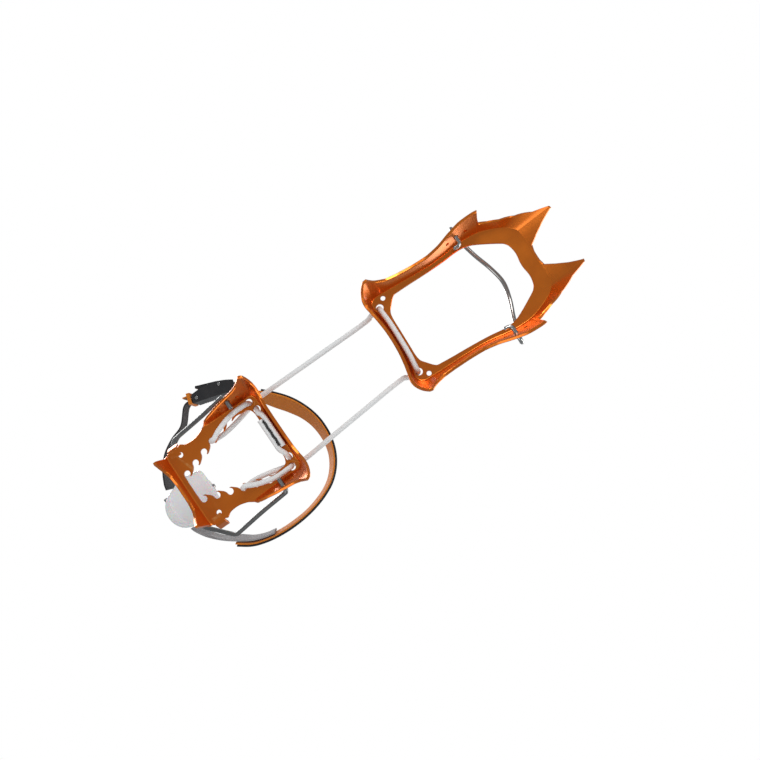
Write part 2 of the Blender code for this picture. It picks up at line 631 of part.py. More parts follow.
HEEL_FLEX = (90.0, 29.3, RUN_LIFT)  # where the cord bends in front of the heel section
FRONT_FLEX = (-8.0, 25.6, 5.6)  # where it bends behind the front section, in the front section
UNDER = -CORD_LIFT - 0.2  # the cord's middle along the underside of a crossbar
SPLICE = 13.0  # half-length of the sewn overlap
SPLICE_X = (76.9, 81.2)  # the two ends lie side by side here


def heel_cord(name, side, end_x, white):
    """From the free run back over the plate, round a hook, forward below it, up through the outer
    hole, down through the inner one and along the underside of the crossbar to its sewn end."""
    hook_x = FIRST_HOOK[0] + CORD_HOOK * HOOK_PITCH
    hook_y = FIRST_HOOK[1] + CORD_HOOK * HOOK_PITCH * HOOK_SLOPE
    outer_x, outer_y = OUTER_CORD_HOLE
    inner_x, inner_y = INNER_CORD_HOLE
    flex_x, flex_y, flex_z = HEEL_FLEX
    turn = np.radians(np.arange(90, 271, 30))
    seat = [
        (hook_x + HOOK_RADIUS + CORD_LIFT * math.cos(a), hook_y + 0.2, CORD_LIFT * math.sin(a))
        for a in turn
    ]
    route = [
        (flex_x - FLEX_GAP / 2, flex_y, flex_z), (82, 28.4, flex_z), (73, 26.2, 6.8), (63, 23.6, 4.8),
        (53, 21.6, 3.6), (46, 21.0, 3.4), *seat, (47, 24.6, UNDER), (57, 27.9, UNDER),
        (66, 29.3, UNDER), (outer_x - 3.2, outer_y, UNDER), (outer_x - 1.5, outer_y, -2.7),
        (outer_x - 0.6, outer_y - 0.2, -1.0), (outer_x - 0.2, outer_y - 0.8, 0.6),
        (outer_x + 0.3, outer_y - 1.5, 2.7), (outer_x + 1.15, outer_y - 3.8, 3.5),
        (inner_x - 0.5, inner_y + 1.4, 2.7), (inner_x - 0.2, inner_y + 0.9, 0.6),
        (inner_x - 0.1, inner_y - 0.3, -1.5), (inner_x - 0.3, inner_y - 1.6, -2.8),
        (inner_x - 0.6, inner_y - 3.0, UNDER), ((inner_x + end_x) / 2, inner_y - 5, UNDER),
        (end_x, SPLICE, UNDER), (end_x, 0, UNDER), (end_x, -SPLICE, UNDER),
    ]
    wire(name, heel(smooth_path(np.array(route) * [1, side, 1], 3)), CORD, white)


def cord_runs(white):
    """The two free stretches between the sections."""
    for name, side in (("cord_run_left", 1), ("cord_run_right", -1)):
        start = heel([np.array(HEEL_FLEX) * [1, side, 1]])[0]
        end = front([np.array(FRONT_FLEX) * [1, side, 1]])[0]
        along = (end - start) / np.linalg.norm(end - start)
        share = np.linspace(0, 1, 13)[:, None]
        start, end = start + along * FLEX_GAP / 2, end - along * FLEX_GAP / 2
        wire(name, start * (1 - share) + end * share, CORD, white)


def front_cord(white):
    """From each free run over the rear edge, down through the large hole and along the crossbar."""
    x, y = FRONT_CORD_HOLE
    flex_x, flex_y, flex_z = FRONT_FLEX
    half = [
        (flex_x + FLEX_GAP / 2, flex_y, flex_z), (-4.6, 27.0, 5.0), (-0.6, 28.2, 4.0), (x - 2.9, y, 3.4),
        (x - 1.5, y, 2.7), (x - 0.7, y - 0.2, 0.8), (x - 0.5, y - 0.8, -1.4),
        (x - 0.5, y - 1.6, -2.8), (x - 0.4, y - 3.0, UNDER), (5.4, 22.5, UNDER),
        (6.1, 14, UNDER), (6.3, 0, UNDER),
    ]
    wire("cord_front", front(smooth_path(both_sides(half), 3)), CORD, white)


def splice_thread(black):
    """Black thread sewn to and fro in the seam between the two ends of the cord."""
    count = 21
    y = np.linspace(-SPLICE + 1.5, SPLICE - 1.5, count)
    x = np.where(np.arange(count) % 2, 78.2, 79.9)
    z = np.full(count, UNDER - 1.9)
    wire("splice_thread", heel(np.column_stack([x, y, z])), 0.5, black, resolution=1)


def clear_scene():
    for obj in list(bpy.data.objects):
        bpy.data.objects.remove(obj, do_unlink=True)


def main():
    clear_scene()
    orange = finish_material("anodised_orange", (0.74, 0.16, 0.02), 0.4, 0.8)
    steel = finish_material("steel_wire", (0.35, 0.35, 0.34), 0.4, 1.0)
    plastic = finish_material("lever_plastic", (0.82, 0.83, 0.84), 0.35)
    black = finish_material("black_plastic", (0.02, 0.02, 0.022), 0.5)
    grey = finish_material("grey_webbing", (0.6, 0.6, 0.62), 0.8)
    white = finish_material("white_cord", (0.85, 0.85, 0.83), 0.7)
    webbing_orange = finish_material("orange_webbing", (0.76, 0.2, 0.02), 0.8)
    heel_frame(orange)
    front_frame(orange)
    toe_bail(steel)
    heel_bail(steel)
    heel_lever(plastic)
    adjuster(steel, black)
    ankle_strap(webbing_orange, black, grey)
    buckle(black, steel, webbing_orange)
    heel_cord("cord_heel_left", 1, SPLICE_X[0], white)
    heel_cord("cord_heel_right", -1, SPLICE_X[1], white)
    cord_runs(white)
    front_cord(white)
    splice_thread(black)


main()
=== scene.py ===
"""A light hiking crampon for the right foot: two pressed aluminium frames linked by a cord, a wire toe bail,
a wire heel bail with its plastic lever, and a webbing ankle strap with a cam buckle. Lengths are millimetres
until a mesh is made. +X points to the toe, +Y to the left, +Z up."""

import math

import bpy
import numpy as np
from mathutils import Matrix


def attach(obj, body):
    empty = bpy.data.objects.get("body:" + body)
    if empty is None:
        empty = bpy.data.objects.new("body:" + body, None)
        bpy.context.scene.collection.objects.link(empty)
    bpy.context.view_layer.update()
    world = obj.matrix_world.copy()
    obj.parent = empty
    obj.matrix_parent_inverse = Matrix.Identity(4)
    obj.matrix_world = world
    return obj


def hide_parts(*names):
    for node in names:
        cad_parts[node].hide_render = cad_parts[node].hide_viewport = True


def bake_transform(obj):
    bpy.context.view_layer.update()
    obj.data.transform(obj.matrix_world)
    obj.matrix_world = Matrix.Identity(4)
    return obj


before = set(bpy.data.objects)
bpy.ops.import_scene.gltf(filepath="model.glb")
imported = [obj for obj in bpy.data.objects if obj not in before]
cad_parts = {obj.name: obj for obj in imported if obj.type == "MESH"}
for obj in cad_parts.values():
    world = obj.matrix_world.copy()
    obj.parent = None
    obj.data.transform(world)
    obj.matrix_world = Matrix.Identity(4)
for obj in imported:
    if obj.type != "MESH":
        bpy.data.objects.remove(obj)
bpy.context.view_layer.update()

# The two sections stand apart: the cord lets the front one lie a little to the right and turned to the left.
MM = 0.001
HEEL_PLACE = np.array([-155.9, 4.2, 27.5])
FRONT_PLACE = np.array([36.3, 0.7, 27.5])
FRONT_YAW = math.radians(3.4)


def heel(points):
    """Heel-section points moved to where the section stands."""
    return np.asarray(points, float) + HEEL_PLACE


def front(points):
    """Front-section points turned by the yaw and moved to where the section stands."""
    c, s = math.cos(FRONT_YAW), math.sin(FRONT_YAW)
    return np.asarray(points, float) @ np.array([[c, s, 0], [-s, c, 0], [0, 0, 1]]) + FRONT_PLACE


# --- Heel frame -------------------------------------------------------------------------------------------
# Pressed aluminium sheet 2.5 mm thick, anodised orange: a plate with its edge bent down to flanges and four
# points, two rows of hooks for the cord, and two tabs bent up beside the boot's heel.
SHEET = 2.5
BEND_RADIUS = 2.75
POINT_DEPTH = 27.5
EDGE_ROUND = 0.45
HOOKS, HOOK_PITCH, HOOK_SLOPE, HOOK_RADIUS = 6, 9.8, 0.335, 2.6
FIRST_HOOK = (8.9, 11.4)
REAR_BAR = 6.0
BAIL_HOLES = (-8.2, 8.2)
HEEL_PIVOT = (65.0, -10.0)
HEEL_WIRE = 3.6


def point_length(angle, depth=POINT_DEPTH):
    """Flange length that reaches the depth at this angle: (depth - t/2 cos a) / sin a."""
    slope = math.radians(angle)
    return (depth - SHEET / 2 * math.cos(slope)) / math.sin(slope)


def hook_line(x):
    """Half-width of the opening at the hooks' tips, a straight line in x."""
    return FIRST_HOOK[1] - 2.3 + HOOK_SLOPE * (x - FIRST_HOOK[0] - 3)


# Corner x and y, opening x and y, flange heading and angle in degrees, flange length.
HEEL_ROWS = [
    (1.0, 0.0, 6.0, 0.0, 180, 80, 9), (1.0, 8.0, 6.0, 3.0, 180, 80, 9),
    (1.0, 15.0, 6.0, 5.5, 180, 80, 11), (1.0, 20.5, 6.5, 7.2, 180, 81, 16),
    (1.0, 26.8, 9.0, hook_line(9), 180, 84, point_length(84)),
    (1.2, 28.8, 10.2, hook_line(10.2), 180, 84, point_length(84)),
    (1.4, 30.0, 10.9, hook_line(10.9), 180, 84, 3.6), (4.1, 30.9, 11.8, hook_line(11.8), 150, 0, 0.6),
    (5.0, 31.6, 12.8, hook_line(12.8), 90, 0, 0.6), (13.4, 31.8, 18.6, hook_line(18.6), 90, 0, 0.6),
    (16.4, 32.6, 20.6, hook_line(20.6), 90, 0, 0.6), (20.4, 30.2, 23.0, hook_line(23), 90, 0, 0.6),
    (27.7, 29.8, 28.5, hook_line(28.5), 90, 0, 0.6), (34.5, 31.6, 34.5, hook_line(34.5), 90, 0, 0.6),
    (39.0, 33.6, 39.0, hook_line(39), 90, 14, 1.2), (43.0, 34.2, 43.0, hook_line(43), 90, 60, 5),
    (50.0, 34.2, 50.0, hook_line(50), 90, 66, 9.5), (58.0, 34.2, 57.0, hook_line(57), 90, 66, 13),
    (66.0, 34.2, 63.5, hook_line(63.5), 90, 66, 15.5), (73.0, 34.2, 69.0, 25.6, 90, 66, 17.5),
    (78.0, 34.2, 72.5, 25.4, 88, 66, 21), (81.6, 33.6, 74.6, 24.2, 80, 66, point_length(66)),
    (83.2, 32.4, 75.6, 22.6, 72, 66, point_length(66)), (84.6, 29.4, 76.3, 20.4, 35, 72, 18),
    (85.0, 25.0, 76.5, 17.6, 10, 76, 12), (85.0, 18.0, 76.5, 13.6, 0, 78, 9),
    (85.0, 8.0, 76.5, 6.6, 0, 78, 7.5), (85.0, 0.0, 76.5, 0.0, 0, 78, 7.5),
]


def spline(points, step):
    """Points about a step apart on the Catmull-Rom curve through the given ones,
    (2 p1 + (p2 - p0) t + (2 p0 - 5 p1 + 4 p2 - p3) t^2 + (3 p1 - p0 - 3 p2 + p3) t^3) / 2."""
    points = np.asarray(points, float)
    padded = np.concatenate([[2 * points[0] - points[1]], points, [2 * points[-1] - points[-2]]])
    made = []
    for p0, p1, p2, p3 in zip(padded, padded[1:], padded[2:], padded[3:]):
        count = max(1, round(float(np.linalg.norm((p2 - p1)[:3])) / step))
        t = (np.arange(count) / count)[:, None]
        cubic = (2 * p0 - 5 * p1 + 4 * p2 - p3) * t**2 + (3 * p1 - p0 - 3 * p2 + p3) * t**3
        made.append((2 * p1 + (p2 - p0) * t + cubic) / 2)
    return np.concatenate([*made, points[-1:]])


def between_rows(rows, steps):
    """The rows with steps between neighbours: Catmull-Rom in plan, straight in angle and length."""
    rows = np.array(rows, float)
    flip = [1, -1, 1, -1]
    plan = np.concatenate([rows[1:2, :4] * flip, rows[:, :4], rows[-2:-1, :4] * flip])
    made = []
    for i in range(len(rows) - 1):
        p0, p1, p2, p3 = plan[i : i + 4]
        t = (np.arange(steps) / steps)[:, None]
        cubic = (2 * p0 - 5 * p1 + 4 * p2 - p3) * t**2 + (3 * p1 - p0 - 3 * p2 + p3) * t**3
        smooth = (2 * p1 + (p2 - p0) * t + cubic) / 2
        made.append(np.hstack([smooth, (1 - t) * rows[i, 4:] + t * rows[i + 1, 4:]]))
    return np.concatenate([*made, rows[-1:]])


def pressed_ring(rows, steps=5, arc=7):
    """A closed ring of sheet as a grid: each row's section is flat from the opening, turns by the row's angle
    on the bend radius and runs straight to the flange's edge, offset by half the sheet both ways. The cut
    edges are rounded."""
    rows = between_rows(rows, steps)
    count = len(rows)
    corner, inner = rows[:, 0:2], rows[:, 2:4]
    heading, angle, length = np.radians(rows[:, 4]), np.radians(rows[:, 5]), rows[:, 6]
    out = np.column_stack([np.cos(heading), np.sin(heading), np.zeros(count)])
    up = np.array([0.0, 0.0, 1.0])
    tangent = BEND_RADIUS * np.tan(angle / 2)
    start = np.column_stack([corner, np.zeros(count)]) - out * tangent[:, None]
    first = np.column_stack([inner, np.zeros(count)])
    toward = (start - first) / np.linalg.norm(start - first, axis=1)[:, None]
    middles = [first, first + toward * EDGE_ROUND]
    normals, shrink = [np.tile(up, (count, 1))] * 2, [EDGE_ROUND, 0]
    for share in np.arange(arc + 1) / arc:
        a = (angle * share)[:, None]
        middles.append(start + BEND_RADIUS * (out * np.sin(a) - up * (1 - np.cos(a))))
        normals.append(up * np.cos(a) + out * np.sin(a))
        shrink.append(0)
    straight = np.maximum(length - tangent, 0.3)[:, None]
    down = out * np.cos(angle)[:, None] - up * np.sin(angle)[:, None]
    bend_end = middles[-1]
    rounded = straight - np.minimum(EDGE_ROUND, straight / 2)
    for drop, less in ((straight / 2, 0), (rounded, 0), (straight, EDGE_ROUND)):
        middles.append(bend_end + down * drop)
        normals.append(normals[-1])
        shrink.append(less)
    upper = [m + n * (SHEET / 2 - s) for m, n, s in zip(middles, normals, shrink)]
    lower = [m - n * (SHEET / 2 - s) for m, n, s in zip(middles, normals, shrink)]
    half = np.stack(upper + lower[::-1], axis=1)
    return np.concatenate([half, half[-2:0:-1] * [1, -1, 1]])


def surface(name, grid, material, wrap=False, scale=(1.0, 1.0), sharp=35):
    """A closed mesh over rings of points in millimetres. Each ring closes on itself; the rings close on each
    other with wrap, or else the ends get caps. UV runs in millimetres along and around, times the scale."""
    rings, around = grid.shape[:2]
    index = np.arange(rings * around).reshape(rings, around)
    ahead, beside = np.roll(index, -1, 0), np.roll(index, -1, 1)
    quads = np.stack([index, ahead, np.roll(ahead, -1, 1), beside], axis=-1)
    steps = np.linalg.norm(np.diff(grid.mean(axis=1), axis=0, append=grid[:1].mean(axis=1)), axis=1)
    u = np.concatenate([[0], np.cumsum(steps)])
    side = np.linalg.norm(np.roll(grid, -1, 1) - grid, axis=2).mean(axis=0)
    v = np.concatenate([[0], np.cumsum(side)])
    uv = np.stack([
        np.stack(np.broadcast_arrays(u[:-1, None], v[None, :-1]), -1),
        np.stack(np.broadcast_arrays(u[1:, None], v[None, :-1]), -1),
        np.stack(np.broadcast_arrays(u[1:, None], v[None, 1:]), -1),
        np.stack(np.broadcast_arrays(u[:-1, None], v[None, 1:]), -1),
    ], axis=2)
    if not wrap:
        quads, uv = quads[:-1], uv[:-1]
    faces = quads.reshape(-1, 4).tolist()
    corners = uv.reshape(-1, 2) * scale
    if not wrap:
        faces += [index[0].tolist(), index[-1][::-1].tolist()]
        corners = np.concatenate([corners, np.zeros((2 * around, 2))])
    return closed_mesh(name, grid.reshape(-1, 3), faces, material, corners, sharp)


def closed_mesh(name, points, faces, material, corners=None, sharp=35):
    """A mesh object from points in millimetres, its faces turned outward by the sign of the volume."""
    mesh = bpy.data.meshes.new(name)
    mesh.from_pydata((np.asarray(points, float) * MM).tolist(), [], faces)
    if corners is not None:
        mesh.uv_layers.new(name="along").data.foreach_set("uv", corners.ravel())
    mesh.calc_loop_triangles()
    place = np.empty(len(mesh.vertices) * 3)
    mesh.vertices.foreach_get("co", place)
    trio = np.empty(len(mesh.loop_triangles) * 3, np.int32)
    mesh.loop_triangles.foreach_get("vertices", trio)
    if np.linalg.det(place.reshape(-1, 3)[trio.reshape(-1, 3)]).sum() < 0:
        mesh.flip_normals()
    if material:
        mesh.materials.append(material)
    mesh.shade_smooth()
    mesh.set_sharp_from_angle(angle=math.radians(sharp))
    made = bpy.data.objects.new(name, mesh)
    bpy.context.scene.collection.objects.link(made)
    return made


def prism(outline, low, high, axis="z"):
    """Points and faces of an outline between two heights: x, y along z; z, x along y; y, z along x."""
    outline = np.asarray(outline, float)
    count = len(outline)
    height = np.repeat([low, high], count)
    plan = np.tile(outline, (2, 1))
    columns = {"z": [plan, height], "y": [plan[:, 1], height, plan[:, 0]], "x": [height, plan]}[axis]
    faces = [list(range(count))[::-1], list(range(count, 2 * count))]
    faces += [[j, (j + 1) % count, (j + 1) % count + count, j + count] for j in range(count)]
    return np.column_stack(columns), faces


def joined(shapes):
    """Several closed shapes as one list of points and one of faces."""
    starts = np.cumsum([0] + [len(points) for points, _ in shapes])
    faces = [[int(start) + j for j in face] for (_, part), start in zip(shapes, starts) for face in part]
    return np.concatenate([points for points, _ in shapes]), faces


def circle(x, y, radius, sides=40):
    turn = np.arange(sides) * 2 * math.pi / sides
    return np.column_stack([x + radius * np.cos(turn), y + radius * np.sin(turn)])


def combine(target, shape, operation):
    """The target's mesh with the shape taken away or joined on, worked out now."""
    tool = closed_mesh(target.name + "_tool", *shape, None)
    boolean = target.modifiers.new("shape", "BOOLEAN")
    boolean.operation, boolean.solver, boolean.object = operation, "EXACT", tool
    boolean.use_self = True
    bpy.context.view_layer.update()
    evaluated = target.evaluated_get(bpy.context.evaluated_depsgraph_get())
    made = bpy.data.meshes.new_from_object(evaluated)
    target.modifiers.clear()
    target.data = made
    made.set_sharp_from_angle(angle=math.radians(35))
    bpy.data.objects.remove(tool)


def eased(obj, width, segments=3):
    """Rounds the edges of a moulded piece."""
    bevel = obj.modifiers.new("rounded", "BEVEL")
    bevel.width, bevel.segments = width * MM, segments
    bevel.limit_method, bevel.angle_limit = "ANGLE", math.radians(35)
    bevel.harden_normals = True


def node(tree, kind, inputs=None, **settings):
    """A shader node with its settings and its inputs, each a value or another node's socket."""
    made = tree.nodes.new("ShaderNode" + kind)
    for name, value in settings.items():
        setattr(made, name, value)
    for name, value in (inputs or {}).items():
        if isinstance(value, bpy.types.NodeSocket):
            tree.links.new(value, made.inputs[name])
        else:
            made.inputs[name].default_value = value
    return made


def material(name, inputs):
    """A new Principled material and its tree, with constants set on the shader's sockets."""
    made = bpy.data.materials.new(name)
    made.use_nodes = True
    shader = made.node_tree.nodes["Principled BSDF"]
    for socket, value in inputs.items():
        shader.inputs[socket].default_value = value
    return made, made.node_tree, shader


def grain(tree, size, low, high, detail=4.0):
    """Noise in the object's own space, mapped from 0.3-0.7 to a range."""
    place = node(tree, "TexCoord").outputs["Object"]
    noise = node(tree, "TexNoise", {"Vector": place, "Scale": size, "Detail": detail})
    return node(tree, "MapRange", {
        "Value": noise.outputs["Fac"], "From Min": 0.3, "From Max": 0.7, "To Min": low, "To Max": high,
    }).outputs["Result"]


def anodised():
    """Dyed oxide over aluminium: fine grain from blasting, small scuffs, and bare metal on worn edges."""
    made, tree, shader = material("orange_aluminium", {
        "Metallic": 0.88, "Specular IOR Level": 0.5, "Coat Weight": 0.25,
        "Coat Roughness": 0.16, "Coat IOR": 1.6,
    })
    tone = node(tree, "ValToRGB", {"Fac": grain(tree, 22, 0.0, 1.0)})
    tone.color_ramp.elements[0].color = (0.72, 0.155, 0.008, 1)
    tone.color_ramp.elements[1].color = (0.82, 0.205, 0.013, 1)
    wear = node(tree, "NewGeometry").outputs["Pointiness"]
    edge = node(tree, "MapRange", {"Value": wear, "From Min": 0.56, "From Max": 0.66})
    speckle = grain(tree, 420, 0.0, 1.0)
    scuff = node(tree, "Math", {0: edge.outputs["Result"], 1: speckle}, operation="MULTIPLY")
    worn = node(tree, "Mix", {"Factor": scuff.outputs[0]}, data_type="RGBA")
    tree.links.new(tone.outputs["Color"], worn.inputs["A"])
    worn.inputs["B"].default_value = (0.95, 0.42, 0.12, 1)
    tree.links.new(worn.outputs["Result"], shader.inputs["Base Color"])
    tree.links.new(grain(tree, 90, 0.26, 0.33), shader.inputs["Roughness"])
    dust = grain(tree, 2600, 0.0, 1.0, 2.0)
    fine = node(tree, "Bump", {"Height": dust, "Strength": 0.03, "Distance": 0.0001})
    tree.links.new(fine.outputs["Normal"], shader.inputs["Normal"])
    return made


ORANGE = anodised()


def hook_notches():
    """Each notch: a round seat behind a curled tip, then a bump that swells to the next tip, mirrored."""
    shapes = []
    for k in range(HOOKS):
        x, y = FIRST_HOOK[0] + k * HOOK_PITCH, FIRST_HOOK[1] + k * HOOK_PITCH * HOOK_SLOPE
        turn = np.radians(np.arange(-64, 176, 10))
        seat = np.column_stack([x + HOOK_RADIUS * np.cos(turn), y + HOOK_RADIUS * np.sin(turn)])
        swell = [(x - 3.0, y - 1.3), (x - 4.2, y - 3.1), (x - 5.7, y - 4.4), (x - 7.0, y - 5.5)]
        bump = spline([seat[-1], *swell], 0.5)
        outline = np.vstack([seat[:-1], bump, [x - 7.0, y - 9], [x + 1.15, y - 7]])
        outline[:, 0] = np.maximum(outline[:, 0], REAR_BAR + 0.1)
        shapes += [prism(outline, -6, 6), prism((outline * [1, -1])[::-1], -6, 6)]
    return shapes


def across(x, z, radius, near, far):
    """Drills along Y through both flanges."""
    outline = circle(z, x, radius)
    return [prism(outline, near, far, "y"), prism(outline, -far, -near, "y")]


def upright(x, y, radius):
    """Drills down through both sides of a plate."""
    return [prism(circle(x, y, radius), -6, 6), prism(circle(x, -y, radius), -6, 6)]


def heel_tab(side):
    """A tab bent up through 72 degrees beside the plate's edge, drawn as one prism across X."""
    bend = math.radians(72)
    tangent = BEND_RADIUS * math.tan(bend / 2)
    start, a = 32.5 - tangent, np.linspace(0, bend, 9)
    middle = np.column_stack([start + BEND_RADIUS * np.sin(a), BEND_RADIUS * (1 - np.cos(a))])
    normal = np.column_stack([-np.sin(a), np.cos(a)])
    tip = middle[-1] + (10 - tangent) * np.array([math.cos(bend), math.sin(bend)])
    middle = np.vstack([[26.5, 0.0], middle, tip])
    normal = np.vstack([[0.0, 1.0], normal, normal[-1]])
    half = SHEET / 2 + 0.02  # just thicker than the plate, so that no two faces coincide
    outline = np.vstack([middle - normal * half, (middle + normal * half)[::-1]])
    if side < 0:
        outline = (outline * [-1, 1])[::-1]
    return prism(outline, 5.0, 13.4, "x")


heel_plate = surface("Heel_frame", pressed_ring(HEEL_ROWS), ORANGE, wrap=True)
drills = upright(77.4, 29.2, 2.9) + upright(79.7, 21.6, 2.9) + upright(12.6, 26.2, 2.1)
drills += across(*HEEL_PIVOT, HEEL_WIRE / 2 + 0.45, 30, 50)
for shift in BAIL_HOLES:
    drills += across(HEEL_PIVOT[0] + shift, -8.6, 1.4, 30, 50)
combine(heel_plate, joined(drills), "DIFFERENCE")
combine(heel_plate, joined(hook_notches()), "DIFFERENCE")
tabs = closed_mesh("Heel_tabs", *joined([heel_tab(1), heel_tab(-1)]), ORANGE)
eased(tabs, 0.5)
tabs.data.transform(Matrix.Translation(HEEL_PLACE * MM))
heel_plate.data.transform(Matrix.Translation(HEEL_PLACE * MM))
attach(heel_plate, "heel_section")
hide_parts("heel_frame")
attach(tabs, "heel_section")

# --- Front frame ------------------------------------------------------------------------------------------
# The same anodised sheet, pressed deeper: a crossbar at the rear with the cord's holes, two side rails with
# four points, and two front points that slope forward and stay clear of the ground.
FRONT_DEPTH = 20.0
TOE_PIVOT = (81.5, -11.0)
TOE_WIRE = 3.4
PL70, PL71, PL36 = point_length(70), point_length(71), point_length(36, FRONT_DEPTH)
FRONT_ROWS = [
    (2.5, 0.0, 10.0, 0.0, 180, 80, 8), (2.2, 10.0, 10.0, 8.0, 180, 80, 8.5),
    (1.2, 20.0, 10.0, 16.0, 180, 80, 10), (0.2, 27.0, 11.0, 21.5, 178, 80, 12),
    (0.2, 32.0, 14.5, 26.0, 165, 77, 15), (2.2, 35.6, 17.5, 29.4, 125, 74, 21),
    (5.4, 37.2, 19.5, 31.0, 98, 71, PL71), (7.8, 37.6, 21.0, 31.4, 94, 71, PL71),
    (12.0, 37.7, 24.5, 31.6, 90, 72, 21), (20.0, 37.6, 29.0, 31.8, 90, 73, 15),
    (29.0, 37.4, 35.0, 32.0, 90, 74, 13.5), (42.0, 37.0, 45.0, 32.2, 90, 74, 13),
    (55.0, 37.0, 56.0, 32.6, 90, 74, 13.5), (66.0, 37.8, 66.0, 33.2, 90, 73, 16),
    (76.0, 39.2, 75.0, 34.2, 90, 72, 20), (86.0, 40.0, 83.0, 34.2, 84, 71, 24.5),
    (95.0, 39.6, 89.0, 32.7, 68, 70, PL70 - 1), (98.0, 39.2, 91.5, 31.6, 62, 70, PL70),
    (100.2, 38.8, 94.0, 30.4, 72, 69, 11), (106.0, 36.8, 98.5, 28.0, 66, 62, 8.5),
    (113.0, 33.6, 103.5, 25.2, 50, 52, 8), (118.6, 30.4, 107.6, 22.8, 22, 42, 12),
    (122.4, 27.2, 110.6, 20.8, 4, 37, 21), (124.6, 24.6, 112.4, 18.6, 0, 36, PL36),
    (125.2, 22.4, 113.2, 17.0, 0, 36, PL36), (125.8, 18.0, 114.0, 14.0, 0, 36, 20),
    (126.0, 13.0, 114.4, 10.4, 0, 36, 10), (125.8, 8.5, 114.2, 7.0, 0, 36, 2.5),
    (125.6, 4.0, 113.6, 3.4, 0, 34, 1.5), (125.5, 0.0, 113.4, 0.0, 0, 34, 1.5),
]
FRONT_CORD_HOLE = (5.6, 28.4)
front_plate = surface("Front_frame", pressed_ring(FRONT_ROWS), ORANGE, wrap=True)
drills = upright(*FRONT_CORD_HOLE, 2.9) + upright(11.4, 33.4, 1.9)
drills += across(*TOE_PIVOT, TOE_WIRE / 2 + 0.45, 37, 55)
for shift in BAIL_HOLES:
    drills += across(TOE_PIVOT[0] + shift, TOE_PIVOT[1], 1.5, 37, 55)
combine(front_plate, joined(drills), "DIFFERENCE")
front_plate.data.transform(
    Matrix.Translation(FRONT_PLACE * MM) @ Matrix.Rotation(FRONT_YAW, 4, "Z")
)
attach(front_plate, "front_section")
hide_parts("front_frame")

# --- Cord -------------------------------------------------------------------------------------------------
# One loop of braided white cord, 4 mm thick. Each end runs under the heel's crossbar, up and down through
# its holes, round a hook and forward to the front section, where it lies along the underside of the crossbar.
CORD_RADIUS = 2.0
CORD_LIFT = 3.3
UNDER = -3.5
SPLICE_X = (76.9, 81.2)
HOOK_X, HOOK_Y = FIRST_HOOK[0] + 3 * HOOK_PITCH, FIRST_HOOK[1] + 3 * HOOK_PITCH * HOOK_SLOPE
HEEL_FLEX, FRONT_FLEX = (90.0, 29.3, 7.3), (-8.0, 25.6, 5.8)


def carried(path, radius, sides):
    """Rings of a circle carried along a path without twist: each frame is the last one turned by the smallest
    turn that follows the tangent, n' = n - (n . t) t."""
    path = np.asarray(path, float)
    tangent = np.gradient(path, axis=0)
    tangent /= np.linalg.norm(tangent, axis=1)[:, None]
    normal = np.cross(tangent[0], [0.13, 0.31, 0.94])
    normals = []
    for t in tangent:
        normal = normal - t * (normal @ t)
        normal = normal / np.linalg.norm(normal)
        normals.append(normal)
    normals = np.array(normals)
    second = np.cross(tangent, normals)
    turn = np.arange(sides) * 2 * math.pi / sides
    radius = np.broadcast_to(np.asarray(radius, float), (len(path), sides))
    ring = np.cos(turn)[None, :, None] * normals[:, None] + np.sin(turn)[None, :, None] * second[:, None]
    return path[:, None] + ring * radius[..., None]


def braid(path, sides=28, strands=8, lay=5.2):
    """Radius over a braid: two sets of strands wind opposite ways, r = R - d (1 - max(|sin a|, |sin b|)),
    with a, b = strands/2 x (angle +- 2 pi s / lay) and s the length along."""
    s = np.concatenate([[0], np.cumsum(np.linalg.norm(np.diff(path, axis=0), axis=1))])[:, None]
    turn = (np.arange(sides) * 2 * math.pi / sides)[None]
    a = strands / 2 * (turn + 2 * math.pi * s / (lay * strands / 2))
    b = strands / 2 * (turn - 2 * math.pi * s / (lay * strands / 2))
    relief = np.maximum(np.abs(np.sin(a)), np.abs(np.sin(b)))
    return CORD_RADIUS - 0.22 * (1 - relief)


def woven(name, colour, pitch, strength, roughness=0.85, sheen=0.25, dark=0.72):
    """Yarn that crosses: height sin u x sin v in the UV's millimetres with fine fibres. The colour carries
    painted shade, darker in the gaps between the yarns, times soil that varies at random."""
    made, tree, shader = material(name, {
        "Roughness": roughness, "Sheen Weight": sheen, "Sheen Roughness": 0.5, "Specular IOR Level": 0.3,
    })
    place = node(tree, "UVMap", uv_map="along").outputs["UV"]
    part = node(tree, "SeparateXYZ", {"Vector": place})
    waves = []
    for axis, size in zip("XY", pitch):
        turn = node(tree, "Math", {0: part.outputs[axis], 1: 2 * math.pi / size}, operation="MULTIPLY")
        waves.append(node(tree, "Math", {0: turn.outputs[0]}, operation="SINE").outputs[0])
    cross = node(tree, "Math", {0: waves[0], 1: waves[1]}, operation="MULTIPLY").outputs[0]
    lift = node(tree, "MapRange", {"Value": cross, "From Min": -1.0, "From Max": 1.0}).outputs["Result"]
    fibre = node(tree, "Math", {0: lift, 1: grain(tree, 3000, -0.25, 0.25)}, operation="ADD").outputs[0]
    bump = node(tree, "Bump", {"Height": fibre, "Strength": strength, "Distance": 0.00035})
    tree.links.new(bump.outputs["Normal"], shader.inputs["Normal"])
    # The colour below is painted shade that darkens the gaps between the yarns with their height, times soil
    # that varies at random.
    gap_shade_and_soil = node(tree, "Math", {0: fibre, 1: grain(tree, 60, 0.85, 1.1)}, operation="MULTIPLY").outputs[0]
    tone = node(tree, "MapRange", {"Value": gap_shade_and_soil, "To Min": dark, "To Max": 1.0}).outputs["Result"]
    shade = node(tree, "Mix", {"Factor": 1.0}, data_type="RGBA", blend_type="MULTIPLY")
    shade.inputs["A"].default_value = (*colour, 1)
    tree.links.new(tone, shade.inputs["B"])
    tree.links.new(shade.outputs["Result"], shader.inputs["Base Color"])
    return made


